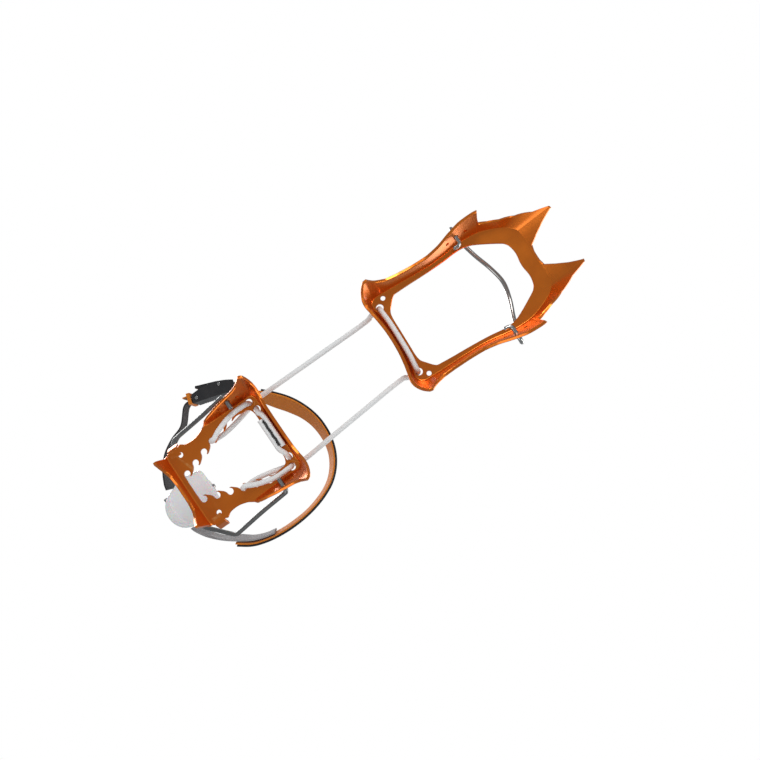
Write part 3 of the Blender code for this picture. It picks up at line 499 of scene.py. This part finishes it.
CORD_WHITE = woven("white_cord", (0.93, 0.93, 0.92), (1.3, 1.57), 0.3, dark=0.92)
mid_left = (heel([HEEL_FLEX])[0] + front([FRONT_FLEX])[0]) / 2
mid_right = (heel([np.array(HEEL_FLEX) * [1, -1, 1]])[0] + front([np.array(FRONT_FLEX) * [1, -1, 1]])[0]) / 2
seat = [
    (HOOK_X + HOOK_RADIUS + CORD_LIFT * math.cos(a), HOOK_Y + 0.2, CORD_LIFT * math.sin(a))
    for a in np.radians(np.arange(90, 271, 30))
]
to_hook = [
    (HEEL_FLEX[0] - 1, HEEL_FLEX[1], HEEL_FLEX[2]), (82, 28.4, 7.3), (73, 26.2, 6.9), (63, 23.6, 4.9),
    (53, 21.6, 3.7), (46, 21.0, 3.5), *seat, (47, 24.6, UNDER), (57, 27.9, UNDER), (66, 29.3, UNDER),
    (74.2, 29.2, UNDER), (75.9, 29.2, -2.7), (76.8, 29.0, -1.0), (77.2, 28.4, 0.6), (77.7, 27.7, 2.7),
    (78.55, 25.4, 3.6), (79.2, 23.0, 2.7), (79.5, 22.5, 0.6), (79.6, 21.3, -1.5), (79.4, 20.0, -2.8),
    (79.1, 18.6, UNDER),
]
for name, side, end_x, middle in (
    ("Left_cord", 1, SPLICE_X[0], mid_left), ("Right_cord", -1, SPLICE_X[1], mid_right),
):
    route = to_hook + [((79.7 + end_x) / 2, 16.6, UNDER)] + [(end_x, y, UNDER) for y in (13, 6, 0, -6, -13)]
    ahead = (heel([HEEL_FLEX * np.array([1, side, 1])])[0] * [[1.0]]
        * (1 - np.array([[1.0], [0.75], [0.5], [0.25]]))
             + middle * np.array([[1.0], [0.75], [0.5], [0.25]]))
    path = spline(np.vstack([ahead, heel(np.array(route) * [1, side, 1])]), 0.45)
    cord = surface(name, carried(path, braid(path), 28), CORD_WHITE, sharp=60)
    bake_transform(cord)
    hand = "left" if side > 0 else "right"
    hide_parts("cord_heel_" + hand, "cord_run_" + hand)

# The front half of the loop: down through the two large holes and along the underside of the crossbar.
hole_x, hole_y = FRONT_CORD_HOLE
half = [
    (FRONT_FLEX[0] + 1, FRONT_FLEX[1] + 0.4, FRONT_FLEX[2] - 0.2), (-4.6, 27.0, 5.2), (-0.6, 28.2, 4.1),
    (hole_x - 2.9, hole_y, 3.5), (hole_x - 1.5, hole_y, 2.7), (hole_x - 0.7, hole_y - 0.2, 0.8),
    (hole_x - 0.5, hole_y - 0.8, -1.4), (hole_x - 0.5, hole_y - 1.6, -2.8),
    (hole_x - 0.4, hole_y - 3.0, UNDER),
    (5.4, 22.5, UNDER), (6.1, 14, UNDER), (6.3, 0, UNDER),
]
inside = front(np.vstack([half, np.array(half)[-2::-1] * [1, -1, 1]]))
share = np.array([[0.0], [0.25], [0.5], [0.75]])
left_run = mid_left * (1 - share) + front([FRONT_FLEX])[0] * share
right_run = (mid_right * (1 - share) + front([np.array(FRONT_FLEX) * [1, -1, 1]])[0] * share)[::-1]
path = spline(np.vstack([left_run, inside, right_run]), 0.45)
front_cord = surface("Front_cord", carried(path, braid(path), 28), CORD_WHITE, sharp=60)
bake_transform(front_cord)
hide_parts("cord_front")

# --- Splice thread ----------------------------------------------------------------------------------------
# Black thread sewn to and fro in the seam where the cord's two ends overlap below the heel's crossbar.
made, tree, shader = material("black_thread", {"Roughness": 0.7, "Sheen Weight": 0.2})
tree.links.new(
    node(tree, "ValToRGB", {"Fac": grain(tree, 900, 0.0, 0.05)}).outputs["Color"], shader.inputs["Base Color"]
)
BLACK_THREAD = made
stitches = 25
y = np.linspace(11.0, -11.0, stitches)
seam = (SPLICE_X[0] + SPLICE_X[1]) / 2
x = seam + 0.85 * np.where(np.arange(stitches) % 2, -1, 1) * (0.7 + 0.3 * np.sin(np.arange(stitches) * 2.3))
path = spline(heel(np.column_stack([x, y, np.full(stitches, UNDER - 1.75)])), 0.25)
thread = surface("Splice_thread", carried(path, 0.55, 10), BLACK_THREAD)
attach(thread, "heel_section")
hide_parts("splice_thread")

# --- Toe bail ---------------------------------------------------------------------------------------------
# Polished spring-steel wire 3.4 mm thick. It hooks through both flanges, rises outside them and crosses
# above the toe; the ends are bent back behind the flanges and hold it there.


def steel(name, base, roughness, along=0.0):
    """Drawn wire: fine scratches and a little uneven gloss, with a stretched highlight."""
    made, tree, shader = material(name, {"Metallic": 1.0, "Anisotropic": along, "Anisotropic Rotation": 0.25})
    tone = node(tree, "ValToRGB", {"Fac": grain(tree, 130, 0.0, 1.0)})
    tone.color_ramp.elements[0].color = (*[c * 0.82 for c in base], 1)
    tone.color_ramp.elements[1].color = (*base, 1)
    tree.links.new(tone.outputs["Color"], shader.inputs["Base Color"])
    tree.links.new(grain(tree, 300, roughness * 0.8, roughness * 1.25), shader.inputs["Roughness"])
    bump = node(tree, "Bump", {"Height": grain(tree, 1800, 0.0, 1.0), "Strength": 0.04, "Distance": 0.0001})
    tree.links.new(bump.outputs["Normal"], shader.inputs["Normal"])
    return made


def wire(name, path, diameter, finish, sides=28):
    """A wire along a path with rounded ends: the radius closes as r sqrt(1 - (1 - s/r)^2) over the last r."""
    radius = diameter / 2
    s = np.concatenate([[0], np.cumsum(np.linalg.norm(np.diff(path, axis=0), axis=1))])
    gap = np.minimum(s, s[-1] - s) / (radius * 0.6)
    swell = np.sqrt(np.clip(1 - (1 - np.clip(gap, 0, 1)) ** 2, 0.02, 1))
    return surface(name, carried(path, (radius * swell)[:, None], sides), finish)


def both_sides(half):
    """A path from one end to its last point at y = 0, carried on to its mirror image."""
    half = np.asarray(half, float)
    return np.concatenate([half, half[-2::-1] * [1, -1, 1]])


def fine_ends(path):
    """The path with extra points near its two ends, where a wire closes."""
    share = np.linspace(0, 1, 7)[:, None]
    first = path[0] * (1 - share) + path[1] * share
    last = path[-2] * (1 - share) + path[-1] * share
    return np.concatenate([first, path[2:-2], last])


STEEL = steel("steel_wire", (0.46, 0.455, 0.44), 0.2, 0.4)
x, z = TOE_PIVOT
half = [
    (x - 6.5, 35.8, z), (x - 2.4, 36.0, z), (x - 0.2, 37.8, z), (x, 41, z), (x, 46, z),
    (x + 0.3, 49.2, z + 1.6), (x + 0.8, 50.2, z + 6), (x + 1.6, 48.6, z + 14),
    (x + 4, 41.4, z + 24.5), (x + 9, 28, z + 34.5), (x + 14.5, 14.5, z + 40.5), (x + 17.5, 0, z + 42),
]
toe_bail = wire("Toe_bail", front(fine_ends(spline(both_sides(half), 0.8))), TOE_WIRE, STEEL)
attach(toe_bail, "toe_bail")
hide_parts("toe_bail")

# --- Heel bail --------------------------------------------------------------------------------------------
# Matt grey spring wire 3.6 mm thick: out through both flanges, up and back beside the boot, then inward to
# the straight bar that carries the lever.
x, z = HEEL_PIVOT
BAR_X, BAR_Z = -14.0, 56.0
GREY_WIRE = steel("grey_wire", (0.25, 0.25, 0.245), 0.42)
half = [
    (x, 31.2, z), (x, 36, z), (x, 40.4, z), (x - 1, 42.6, z + 0.8), (x - 4, 43.0, z + 3.4),
    (38, 43.4, 12.5), (12, 44.6, 34.2), (7.2, 44.2, 38.4), (3.0, 41.0, 42.0),
    (-10.4, 27.5, 53.2), (-13.2, 24.2, 55.4), (BAR_X, 20.8, BAR_Z), (BAR_X, 10, BAR_Z), (BAR_X, 0, BAR_Z),
]
heel_bail = wire("Heel_bail", heel(fine_ends(spline(both_sides(half), 0.9))), HEEL_WIRE, GREY_WIRE)
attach(heel_bail, "heel_bail")
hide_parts("heel_bail")

# --- Heel lever -------------------------------------------------------------------------------------------
# Milky moulded plastic that turns on the bail's bar: a thick tongue with a round rear end for the thumb, a
# curved rib across its underside, two lugs for the adjusting screw and a staple that holds the strap.
LEVER_THICKNESS = 8.0
LEVER_TOP = BAR_Z + LEVER_THICKNESS / 2
ADJUSTER_Z = LEVER_TOP + 5.0


def milky():
    """Translucent plastic with a cloudy thickness and faint flow marks."""
    made, tree, shader = material("lever_plastic", {
        "Specular IOR Level": 0.45, "IOR": 1.49, "Subsurface Weight": 0.35, "Subsurface Scale": 0.006,
        "Transmission Weight": 0.0, "Coat Weight": 0.15, "Coat Roughness": 0.2,
    })
    tone = node(tree, "ValToRGB", {"Fac": grain(tree, 45, 0.0, 1.0)})
    tone.color_ramp.elements[0].color = (0.78, 0.79, 0.80, 1)
    tone.color_ramp.elements[1].color = (0.86, 0.87, 0.88, 1)
    tree.links.new(tone.outputs["Color"], shader.inputs["Base Color"])
    tree.links.new(grain(tree, 240, 0.3, 0.42), shader.inputs["Roughness"])
    bump = node(tree, "Bump", {"Height": grain(tree, 500, 0.0, 1.0), "Strength": 0.12, "Distance": 0.0003})
    tree.links.new(bump.outputs["Normal"], shader.inputs["Normal"])
    return made


MILKY = milky()


def tongue(outline, low, high, rounding, rings=34):
    """A slab over a closed outline. Each ring is the outline drawn toward the middle by k, and the edge
    follows a quarter circle of the rounding; the underside carries a rib along an arc about the front."""
    middle = np.array([-10.0, 1.0])
    reach = np.linalg.norm(outline - middle, axis=1).mean()
    turn = np.linspace(0, math.pi / 2, 9)
    edge_k = 1 - rounding * (1 - np.sin(turn)) / reach
    edge_z = rounding * (1 - np.cos(turn))
    flat = np.linspace(0.03, edge_k[0], rings)[:-1]
    k = np.concatenate([flat, edge_k])
    z_low = np.concatenate([np.zeros(len(flat)), edge_z])
    k_all = np.concatenate([k, k[::-1]])
    z_all = np.concatenate([low + z_low, (high - z_low)[::-1]])
    plan = middle + (outline - middle) * k_all[:, None, None]
    z = np.broadcast_to(z_all[:, None], plan.shape[:2]).copy()
    from_front = np.hypot(plan[..., 0] - 4.0, (plan[..., 1] - 1.0) * 1.25)
    rib = np.exp(-((from_front - 31.0) / 0.8) ** 2) * 0.8 + 0.55 / (1 + np.exp(-(from_front - 31.0) * 2))
    below = (np.arange(len(k_all)) < len(flat))[:, None]
    z -= rib * below * np.clip((k_all[:, None] < 0.93), 0, 1)
    return np.dstack([plan, z])


turn = np.radians(np.arange(90, 271, 6))
rear = np.column_stack([-18.5 + 15 * np.cos(turn), 2 + 16.5 * np.sin(turn)])
corners = np.vstack([
    [6, -16.5], [9, -12.5], [9, 12.5], [6, 16.5], [-6, 18.5], [-12, 18.3],
    rear[1:-1], [-12, -18.1], [-6, -18.5], [6, -16.5],
])
outline = spline(np.column_stack([corners, np.zeros(len(corners))]), 1.0)[:-1, :2]
lever = surface("Heel_lever", tongue(outline, BAR_Z - 4, LEVER_TOP, 2.6), MILKY)
for x in (7.0, -8.0):
    top = LEVER_TOP + 3 + 5 * np.sin(np.radians(np.arange(0, 181, 12)))
    lug = np.vstack([[-6, LEVER_TOP - 2], [6, LEVER_TOP - 2],
                     np.column_stack([6 * np.cos(np.radians(np.arange(0, 181, 12))), top])])
    combine(lever, prism(lug, x - 1.5, x + 1.5, "x"), "UNION")
staple = [
    (LEVER_TOP - 1, -31), (LEVER_TOP - 1, -30.9), (LEVER_TOP + 4.2, -30.9), (LEVER_TOP + 4.2, -11.1),
    (LEVER_TOP - 1, -11.1), (LEVER_TOP - 1, -9.5), (LEVER_TOP + 6, -9.5), (LEVER_TOP + 6, -32.4),
]
combine(lever, prism(staple, -5, 5, "y"), "UNION")
bores = [
    prism(circle(BAR_Z, BAR_X, HEEL_WIRE / 2 + 0.3), -30, 30, "y"),
    prism(circle(0, ADJUSTER_Z, 2.2), -12, 12, "x"),
]
combine(lever, joined(bores), "DIFFERENCE")
lever.data.transform(Matrix.Translation(HEEL_PLACE * MM))
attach(lever, "heel_lever")
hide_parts("heel_lever")

# --- Adjuster ---------------------------------------------------------------------------------------------
# A steel screw in the lever's lugs with a knurled black wheel; turning it moves the block that bears on the
# boot's heel welt to and fro.


def thread_rod(length, radius, pitch, depth, sides=24, per_turn=12):
    """A screw along X: r = R - d |((x/p - angle/2 pi) mod 1) - 1/2| x 2, a helical V thread."""
    x = np.arange(0, length, pitch / per_turn)
    turn = np.arange(sides) * 2 * math.pi / sides
    phase = np.mod(x[:, None] / pitch - turn[None] / (2 * math.pi), 1)
    r = radius - depth * np.abs(phase - 0.5) * 2
    return np.dstack([np.repeat(x[:, None], sides, 1), r * np.cos(turn), r * np.sin(turn)])


rod = heel(thread_rod(21, 1.75, 1.0, 0.35) + [-11, 0, ADJUSTER_Z])
screw = surface("Adjuster_screw", rod, STEEL, sharp=25)
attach(screw, "adjuster")
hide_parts("adjuster_screw")


def moulded(name, colour, roughness):
    """Fine spark-eroded grain on moulded plastic, rubbed smoother in patches."""
    made, tree, shader = material(name, {"Specular IOR Level": 0.5, "IOR": 1.5})
    tone = node(tree, "ValToRGB", {"Fac": grain(tree, 70, 0.0, 1.0)})
    tone.color_ramp.elements[0].color = (*[c * 0.75 for c in colour], 1)
    tone.color_ramp.elements[1].color = (*[c * 1.3 for c in colour], 1)
    tree.links.new(tone.outputs["Color"], shader.inputs["Base Color"])
    tree.links.new(grain(tree, 200, roughness * 0.8, roughness * 1.2), shader.inputs["Roughness"])
    bump = node(tree, "Bump", {"Height": grain(tree, 2200, 0.0, 1.0), "Strength": 0.25, "Distance": 0.0002})
    tree.links.new(bump.outputs["Normal"], shader.inputs["Normal"])
    return made


BLACK = moulded("black_plastic", (0.016, 0.016, 0.018), 0.42)
teeth = np.arange(120)
radius = 4.55 + 0.15 * np.cos(teeth * 2 * math.pi * 24 / 120)
turn = teeth * 2 * math.pi / 120
outer = np.column_stack([radius * np.cos(turn), radius * np.sin(turn) + ADJUSTER_Z])
knurled = [prism(outer, -5.8, -2.2, "x")]
wheel = closed_mesh("Adjuster_wheel", *knurled[0], BLACK)
combine(wheel, prism(circle(0, ADJUSTER_Z, 2.0), -8, 0, "x"), "DIFFERENCE")
wheel.data.transform(Matrix.Translation(HEEL_PLACE * MM))
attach(wheel, "adjuster")
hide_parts("adjuster_wheel")
low = LEVER_TOP + 0.3
block_outline = [(-9, low), (9, low), (9, low + 5), (7, low + 12), (-7, low + 12), (-9, low + 5)]
block = closed_mesh("Welt_block", *prism(block_outline, 0.2, 3.4, "x"), BLACK)
combine(block, prism(circle(0, ADJUSTER_Z, 2.0), -2, 6, "x"), "DIFFERENCE")
block.data.transform(Matrix.Translation(HEEL_PLACE * MM))
eased(block, 0.5)
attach(block, "welt_block")
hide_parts("welt_block")

# --- Ankle strap ------------------------------------------------------------------------------------------
# Woven webbing 20 mm wide: an orange layer inside and a black one outside round the ankle, a grey piece
# sewn on at its left end, and a black piece from the buckle back to the lever and over it.
WIDTH, THICK, STRAP_Z = 20.0, 1.5, 67.0
BUCKLE = (52.5, -61.5)
BUCKLE_TURN = math.radians(197)
BUCKLE_PIN, BUCKLE_BAR = (-6.0, 5.2), (14.5, 0.0)


def buckled(points):
    """Points along the strap, outward from it and up, moved to the buckle's place in the heel section."""
    points = np.asarray(points, float)
    c, s = math.cos(BUCKLE_TURN), math.sin(BUCKLE_TURN)
    return points @ np.array([[c, s, 0], [-s, c, 0], [0, 0, 1]]) + [*BUCKLE, STRAP_Z]


def in_buckle(places):
    return np.array([(*point, 0.0) for point in buckled([(u, v, 0) for u, v in places])])


def webbing(name, route, width, finish, out=0.0, trim=(0, None), thick=THICK):
    """Webbing along a route of x, y, z and lean: its section is a rounded strip, |a/w|^n + |b/t|^n = 1,
    moved away from the inner side by out."""
    path = spline(route, 1.2)
    place, lean = path[:, :3], np.radians(path[:, 3])
    along = np.gradient(place, axis=0) * [1, 1, 0]
    along /= np.linalg.norm(along, axis=1)[:, None]
    inward = np.column_stack([along[:, 1], -along[:, 0], np.zeros(len(path))])
    up = np.array([0.0, 0.0, 1.0])
    cross = up * np.cos(lean)[:, None] + inward * np.sin(lean)[:, None]
    face = inward * np.cos(lean)[:, None] - up * np.sin(lean)[:, None]
    turn = np.linspace(0, 2 * math.pi, 40, endpoint=False)
    a = np.sign(np.cos(turn)) * np.abs(np.cos(turn)) ** 0.35 * width / 2
    b = np.sign(np.sin(turn)) * np.abs(np.sin(turn)) ** 0.35 * thick / 2
    middle = (place - face * out)[trim[0] : trim[1]]
    cross, face = cross[trim[0] : trim[1]], face[trim[0] : trim[1]]
    grid = middle[:, None] + cross[:, None] * a[:, None] + face[:, None] * b[:, None]
    return surface(name, heel(grid), finish, sharp=70)


STRAP_LOOP = [
    (0.2, 47.4, STRAP_Z, 13), (10.3, 54.9, STRAP_Z, 10), (20.7, 58.8, STRAP_Z, 9), (32, 60.8, STRAP_Z, 9),
    (44.6, 61.3, STRAP_Z, 10), (58, 60.4, STRAP_Z, 10), (69.6, 58.0, STRAP_Z, 11), (80, 54.4, STRAP_Z, 12),
    (89.2, 49.2, STRAP_Z, 14), (97.2, 41.2, STRAP_Z, 16), (103, 31.0, STRAP_Z, 18), (106, 18.5, STRAP_Z, 21),
    (105.7, 4.7, STRAP_Z, 24), (102.2, -7.6, STRAP_Z, 27), (96.1, -19, STRAP_Z, 31), (88.6, -29, STRAP_Z, 30),
    (81, -38.5, STRAP_Z, 22), (74.0, -47.6, STRAP_Z, 8),
]
IN_BUCKLE = in_buckle([(-18, 0), (-8, 0), (2, 0.2), (9, 2.6), (15, 3.5), (20, 3.5), (26, 3.4)])
LEFT_SIDE = [
    (-21.4, 18.0, 66.6, 16), (-20.2, 22.6, 66.6, 12), (-15.6, 30.6, 66.6, 9), (-7.5, 39.4, STRAP_Z, 8),
    (2.2, 46.0, STRAP_Z, 13), (11.4, 52.4, STRAP_Z, 10), (20.9, 56.4, STRAP_Z, 9), (30, 58.3, STRAP_Z, 9),
]
RIGHT_SIDE = [
    (15, -54.5, STRAP_Z, 0), (3, -49.6, STRAP_Z, 2), (-8, -42.6, STRAP_Z, 4), (-16.0, -33.0, 66.6, 5),
    (-20.6, -23.5, 66.6, 8), (-21.6, -18.0, 66.6, 12),
]
OVER_LEVER = [(-21, -13.5, 62.2, 90), (-21, 13.5, 62.2, 90)]
ORANGE_WEB = woven("orange_fabric", (0.84, 0.25, 0.013), (1.6, 1.1), 0.6)
BLACK_WEB = woven("black_fabric", (0.022, 0.022, 0.024), (1.6, 1.1), 0.6)
GREY_WEB = woven("grey_fabric", (0.42, 0.42, 0.43), (1.6, 1.1), 0.6)
loop_route = np.vstack([STRAP_LOOP, IN_BUCKLE])
before_buckle = len(spline(STRAP_LOOP[:17], 1.2))
right_route = np.vstack([in_buckle([(BUCKLE_BAR[0] + 3.2, 0), (21, -0.4), (27, -3.6)]), RIGHT_SIDE])
for piece, cad_node, slot in (
    (webbing("Orange_webbing", loop_route, WIDTH, ORANGE_WEB), "orange_webbing", "orange_fabric"),
    (
        webbing("Black_webbing", loop_route, WIDTH, BLACK_WEB, 1.75, (1, before_buckle)),
        "black_webbing", "black_fabric",
    ),
    (webbing("Grey_webbing", LEFT_SIDE, WIDTH - 1, GREY_WEB), "grey_webbing", "grey_fabric"),
    (webbing("Right_webbing", right_route, WIDTH - 1, BLACK_WEB), "right_webbing", "black_fabric"),
    (webbing("Lever_webbing", OVER_LEVER, WIDTH - 1, BLACK_WEB), "lever_webbing", "black_fabric"),
):
    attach(piece, "heel_lever")
    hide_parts(cad_node)

# --- Buckle -----------------------------------------------------------------------------------------------
# Black moulded cam buckle: a channel open to the outside, a toothed cam on a steel pin, a steel bar for the
# rear webbing, and an orange loop that keeps the strap's tail.
WALL, BODY_HALF = 2.0, 18.0
side_wall = WIDTH / 2 + 0.7
channel = [
    (-3.6, -side_wall - WALL), (7.5, -side_wall - WALL), (7.5, -side_wall), (-1.6, -side_wall),
    (-1.6, side_wall), (7.5, side_wall), (7.5, side_wall + WALL), (-3.6, side_wall + WALL),
]


def placed_in_buckle(obj):
    """Moves a mesh from the buckle's own axes to the strap."""
    turn = Matrix.Rotation(BUCKLE_TURN, 4, "Z")
    place = Matrix.Translation((HEEL_PLACE + [*BUCKLE, STRAP_Z]) * MM)
    obj.data.transform(place @ turn)


body = closed_mesh("Buckle_body", *prism(channel, -BODY_HALF, BODY_HALF, "x"), BLACK)
curve = np.linspace(-BODY_HALF - 1, BODY_HALF + 1, 25)
arch = 7.8 - 0.011 * (curve + 2) ** 2
over = np.vstack([np.column_stack([curve, arch]), [[BODY_HALF + 1, 12], [-BODY_HALF - 1, 12]]])
combine(body, prism(over, -20, 20), "DIFFERENCE")
grip = [prism(circle(x, -3.9, 0.55, 12), -20, 20) for x in np.arange(-15.0, 15.1, 1.9)]
combine(body, joined(grip), "DIFFERENCE")
shape = joined([prism(circle(*place, 1.8), -20, 20) for place in (BUCKLE_PIN, BUCKLE_BAR)])
combine(body, shape, "DIFFERENCE")
placed_in_buckle(body)
eased(body, 0.7)
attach(body, "heel_lever")
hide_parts("buckle_body")
for name, place, cad_node in (
    ("Buckle_pin", BUCKLE_PIN, "buckle_pin"),
    ("Buckle_bar", BUCKLE_BAR, "buckle_bar"),
):
    rod = closed_mesh(name, *prism(circle(*place, 1.5), -side_wall - WALL, side_wall + WALL), STEEL)
    placed_in_buckle(rod)
    eased(rod, 0.3, 2)
    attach(rod, "heel_lever")
    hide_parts(cad_node)
u, v = BUCKLE_PIN
cam_outline = [
    (u - 1, v - 3.6), (u + 1.5, v - 4.0), (u + 4, v - 2.0), (u + 17, v + 1.2), (u + 20, v + 2.6),
    (u + 19.5, v + 4.6), (u + 15, v + 4.2), (u + 2, v + 3.2), (u - 2.2, v + 2.4), (u - 3.2, v - 0.6),
]
cam = closed_mesh("Buckle_cam", *prism(cam_outline, 0.5 - side_wall, side_wall - 0.5), BLACK)
combine(cam, prism(circle(u, v, 1.8), -20, 20), "DIFFERENCE")
placed_in_buckle(cam)
eased(cam, 0.5)
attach(cam, "buckle_cam")
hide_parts("buckle_cam")
ring = [(19.2, -3.6), (22.2, -3.6), (22.2, 5.9), (19.2, 5.9)]
keeper = closed_mesh("Tail_loop", *prism(ring, -11.6, 11.6), ORANGE_WEB,
                     np.tile([[0.0, 0.0], [3.0, 0.0], [3.0, 9.5], [0.0, 9.5]], (6, 1)))
combine(keeper, prism([(18, -2.6), (24, -2.6), (24, 4.9), (18, 4.9)], -10.6, 10.6), "DIFFERENCE")
placed_in_buckle(keeper)
eased(keeper, 0.25, 2)
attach(keeper, "heel_lever")
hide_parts("tail_loop")

# --- Floor, light and camera ------------------------------------------------------------------------------
# The crampon is seen from below against white. The floor shows only from above.
floor_mesh = bpy.data.meshes.new("Floor")
floor_mesh.from_pydata([(-2, -2, 0), (2, -2, 0), (2, 2, 0), (-2, 2, 0)], [], [(0, 1, 2, 3)])
floor = bpy.data.objects.new("Floor", floor_mesh)
bpy.context.scene.collection.objects.link(floor)
made, tree, shader = material("floor_white", {"Base Color": (0.9, 0.9, 0.9, 1), "Roughness": 0.6})
behind = node(tree, "NewGeometry").outputs["Backfacing"]
clear = node(tree, "BsdfTransparent")
mix = node(tree, "MixShader", {"Fac": behind})
tree.links.new(shader.outputs[0], mix.inputs[1])
tree.links.new(clear.outputs[0], mix.inputs[2])
tree.links.new(mix.outputs[0], tree.nodes["Material Output"].inputs["Surface"])
floor_mesh.materials.append(made)
floor.visible_diffuse = floor.visible_glossy = floor.visible_transmission = floor.visible_shadow = False

world = bpy.data.worlds.new("Studio")
bpy.context.scene.world = world
world.use_nodes = True
tree = world.node_tree
tree.nodes.clear()
seen = node(tree, "Background", {"Color": (1, 1, 1, 1), "Strength": 1.0})
lit = node(tree, "Background", {"Color": (0.92, 0.96, 1.0, 1), "Strength": 0.36})
mix = node(tree, "MixShader", {"Fac": node(tree, "LightPath").outputs["Is Camera Ray"]})
tree.links.new(lit.outputs[0], mix.inputs[1])
tree.links.new(seen.outputs[0], mix.inputs[2])
tree.links.new(mix.outputs[0], node(tree, "OutputWorld").inputs["Surface"])


def area_light(name, place, target, size, power, colour=(1, 1, 1)):
    """A soft square light that faces a point."""
    data = bpy.data.lights.new(name, "AREA")
    data.size, data.energy, data.color = size, power, colour
    made = bpy.data.objects.new(name, data)
    bpy.context.scene.collection.objects.link(made)
    made.location = place
    away = np.array(place, float) - target
    made.rotation_euler = Matrix(frame_axes(away)).to_euler()


def frame_axes(back, side=(0.82, 0.57, 0.0)):
    """Rows of a rotation whose third axis is back and whose first is nearest to side."""
    back = np.asarray(back, float) / np.linalg.norm(back)
    right = np.array(side) - back * np.dot(side, back)
    right /= np.linalg.norm(right)
    return np.column_stack([right, np.cross(back, right), back]).tolist()


VIEW = np.array([0.0, -0.106, 0.99437])
AIM = np.array([0.0126, 0.0177, 0.0275])
area_light("Low key", (0.55, -0.75, -0.75), AIM, 0.5, 6.5)
area_light("Low fill", (-0.7, 0.35, -0.6), AIM, 0.7, 2.6)
area_light("Low rim", (0.9, 0.8, -0.15), AIM, 0.4, 4)
area_light("Top key", (-0.4, -0.6, 0.9), AIM, 0.6, 8)
area_light("Top fill", (0.6, 0.6, 0.8), AIM, 0.8, 5)

camera_data = bpy.data.cameras.new("Camera")
camera_data.lens, camera_data.sensor_width = 53.55, 36.0
camera_data.clip_start, camera_data.clip_end = 0.01, 20
camera = bpy.data.objects.new("Camera", camera_data)
bpy.context.scene.collection.objects.link(camera)
camera.location = AIM - VIEW * 0.85
across_view = (math.cos(math.radians(35)), math.sin(math.radians(35)), 0)
camera.rotation_euler = Matrix(frame_axes(-VIEW, across_view)).to_euler()
bpy.context.scene.camera = camera
bpy.context.scene.view_settings.view_transform = "Standard"
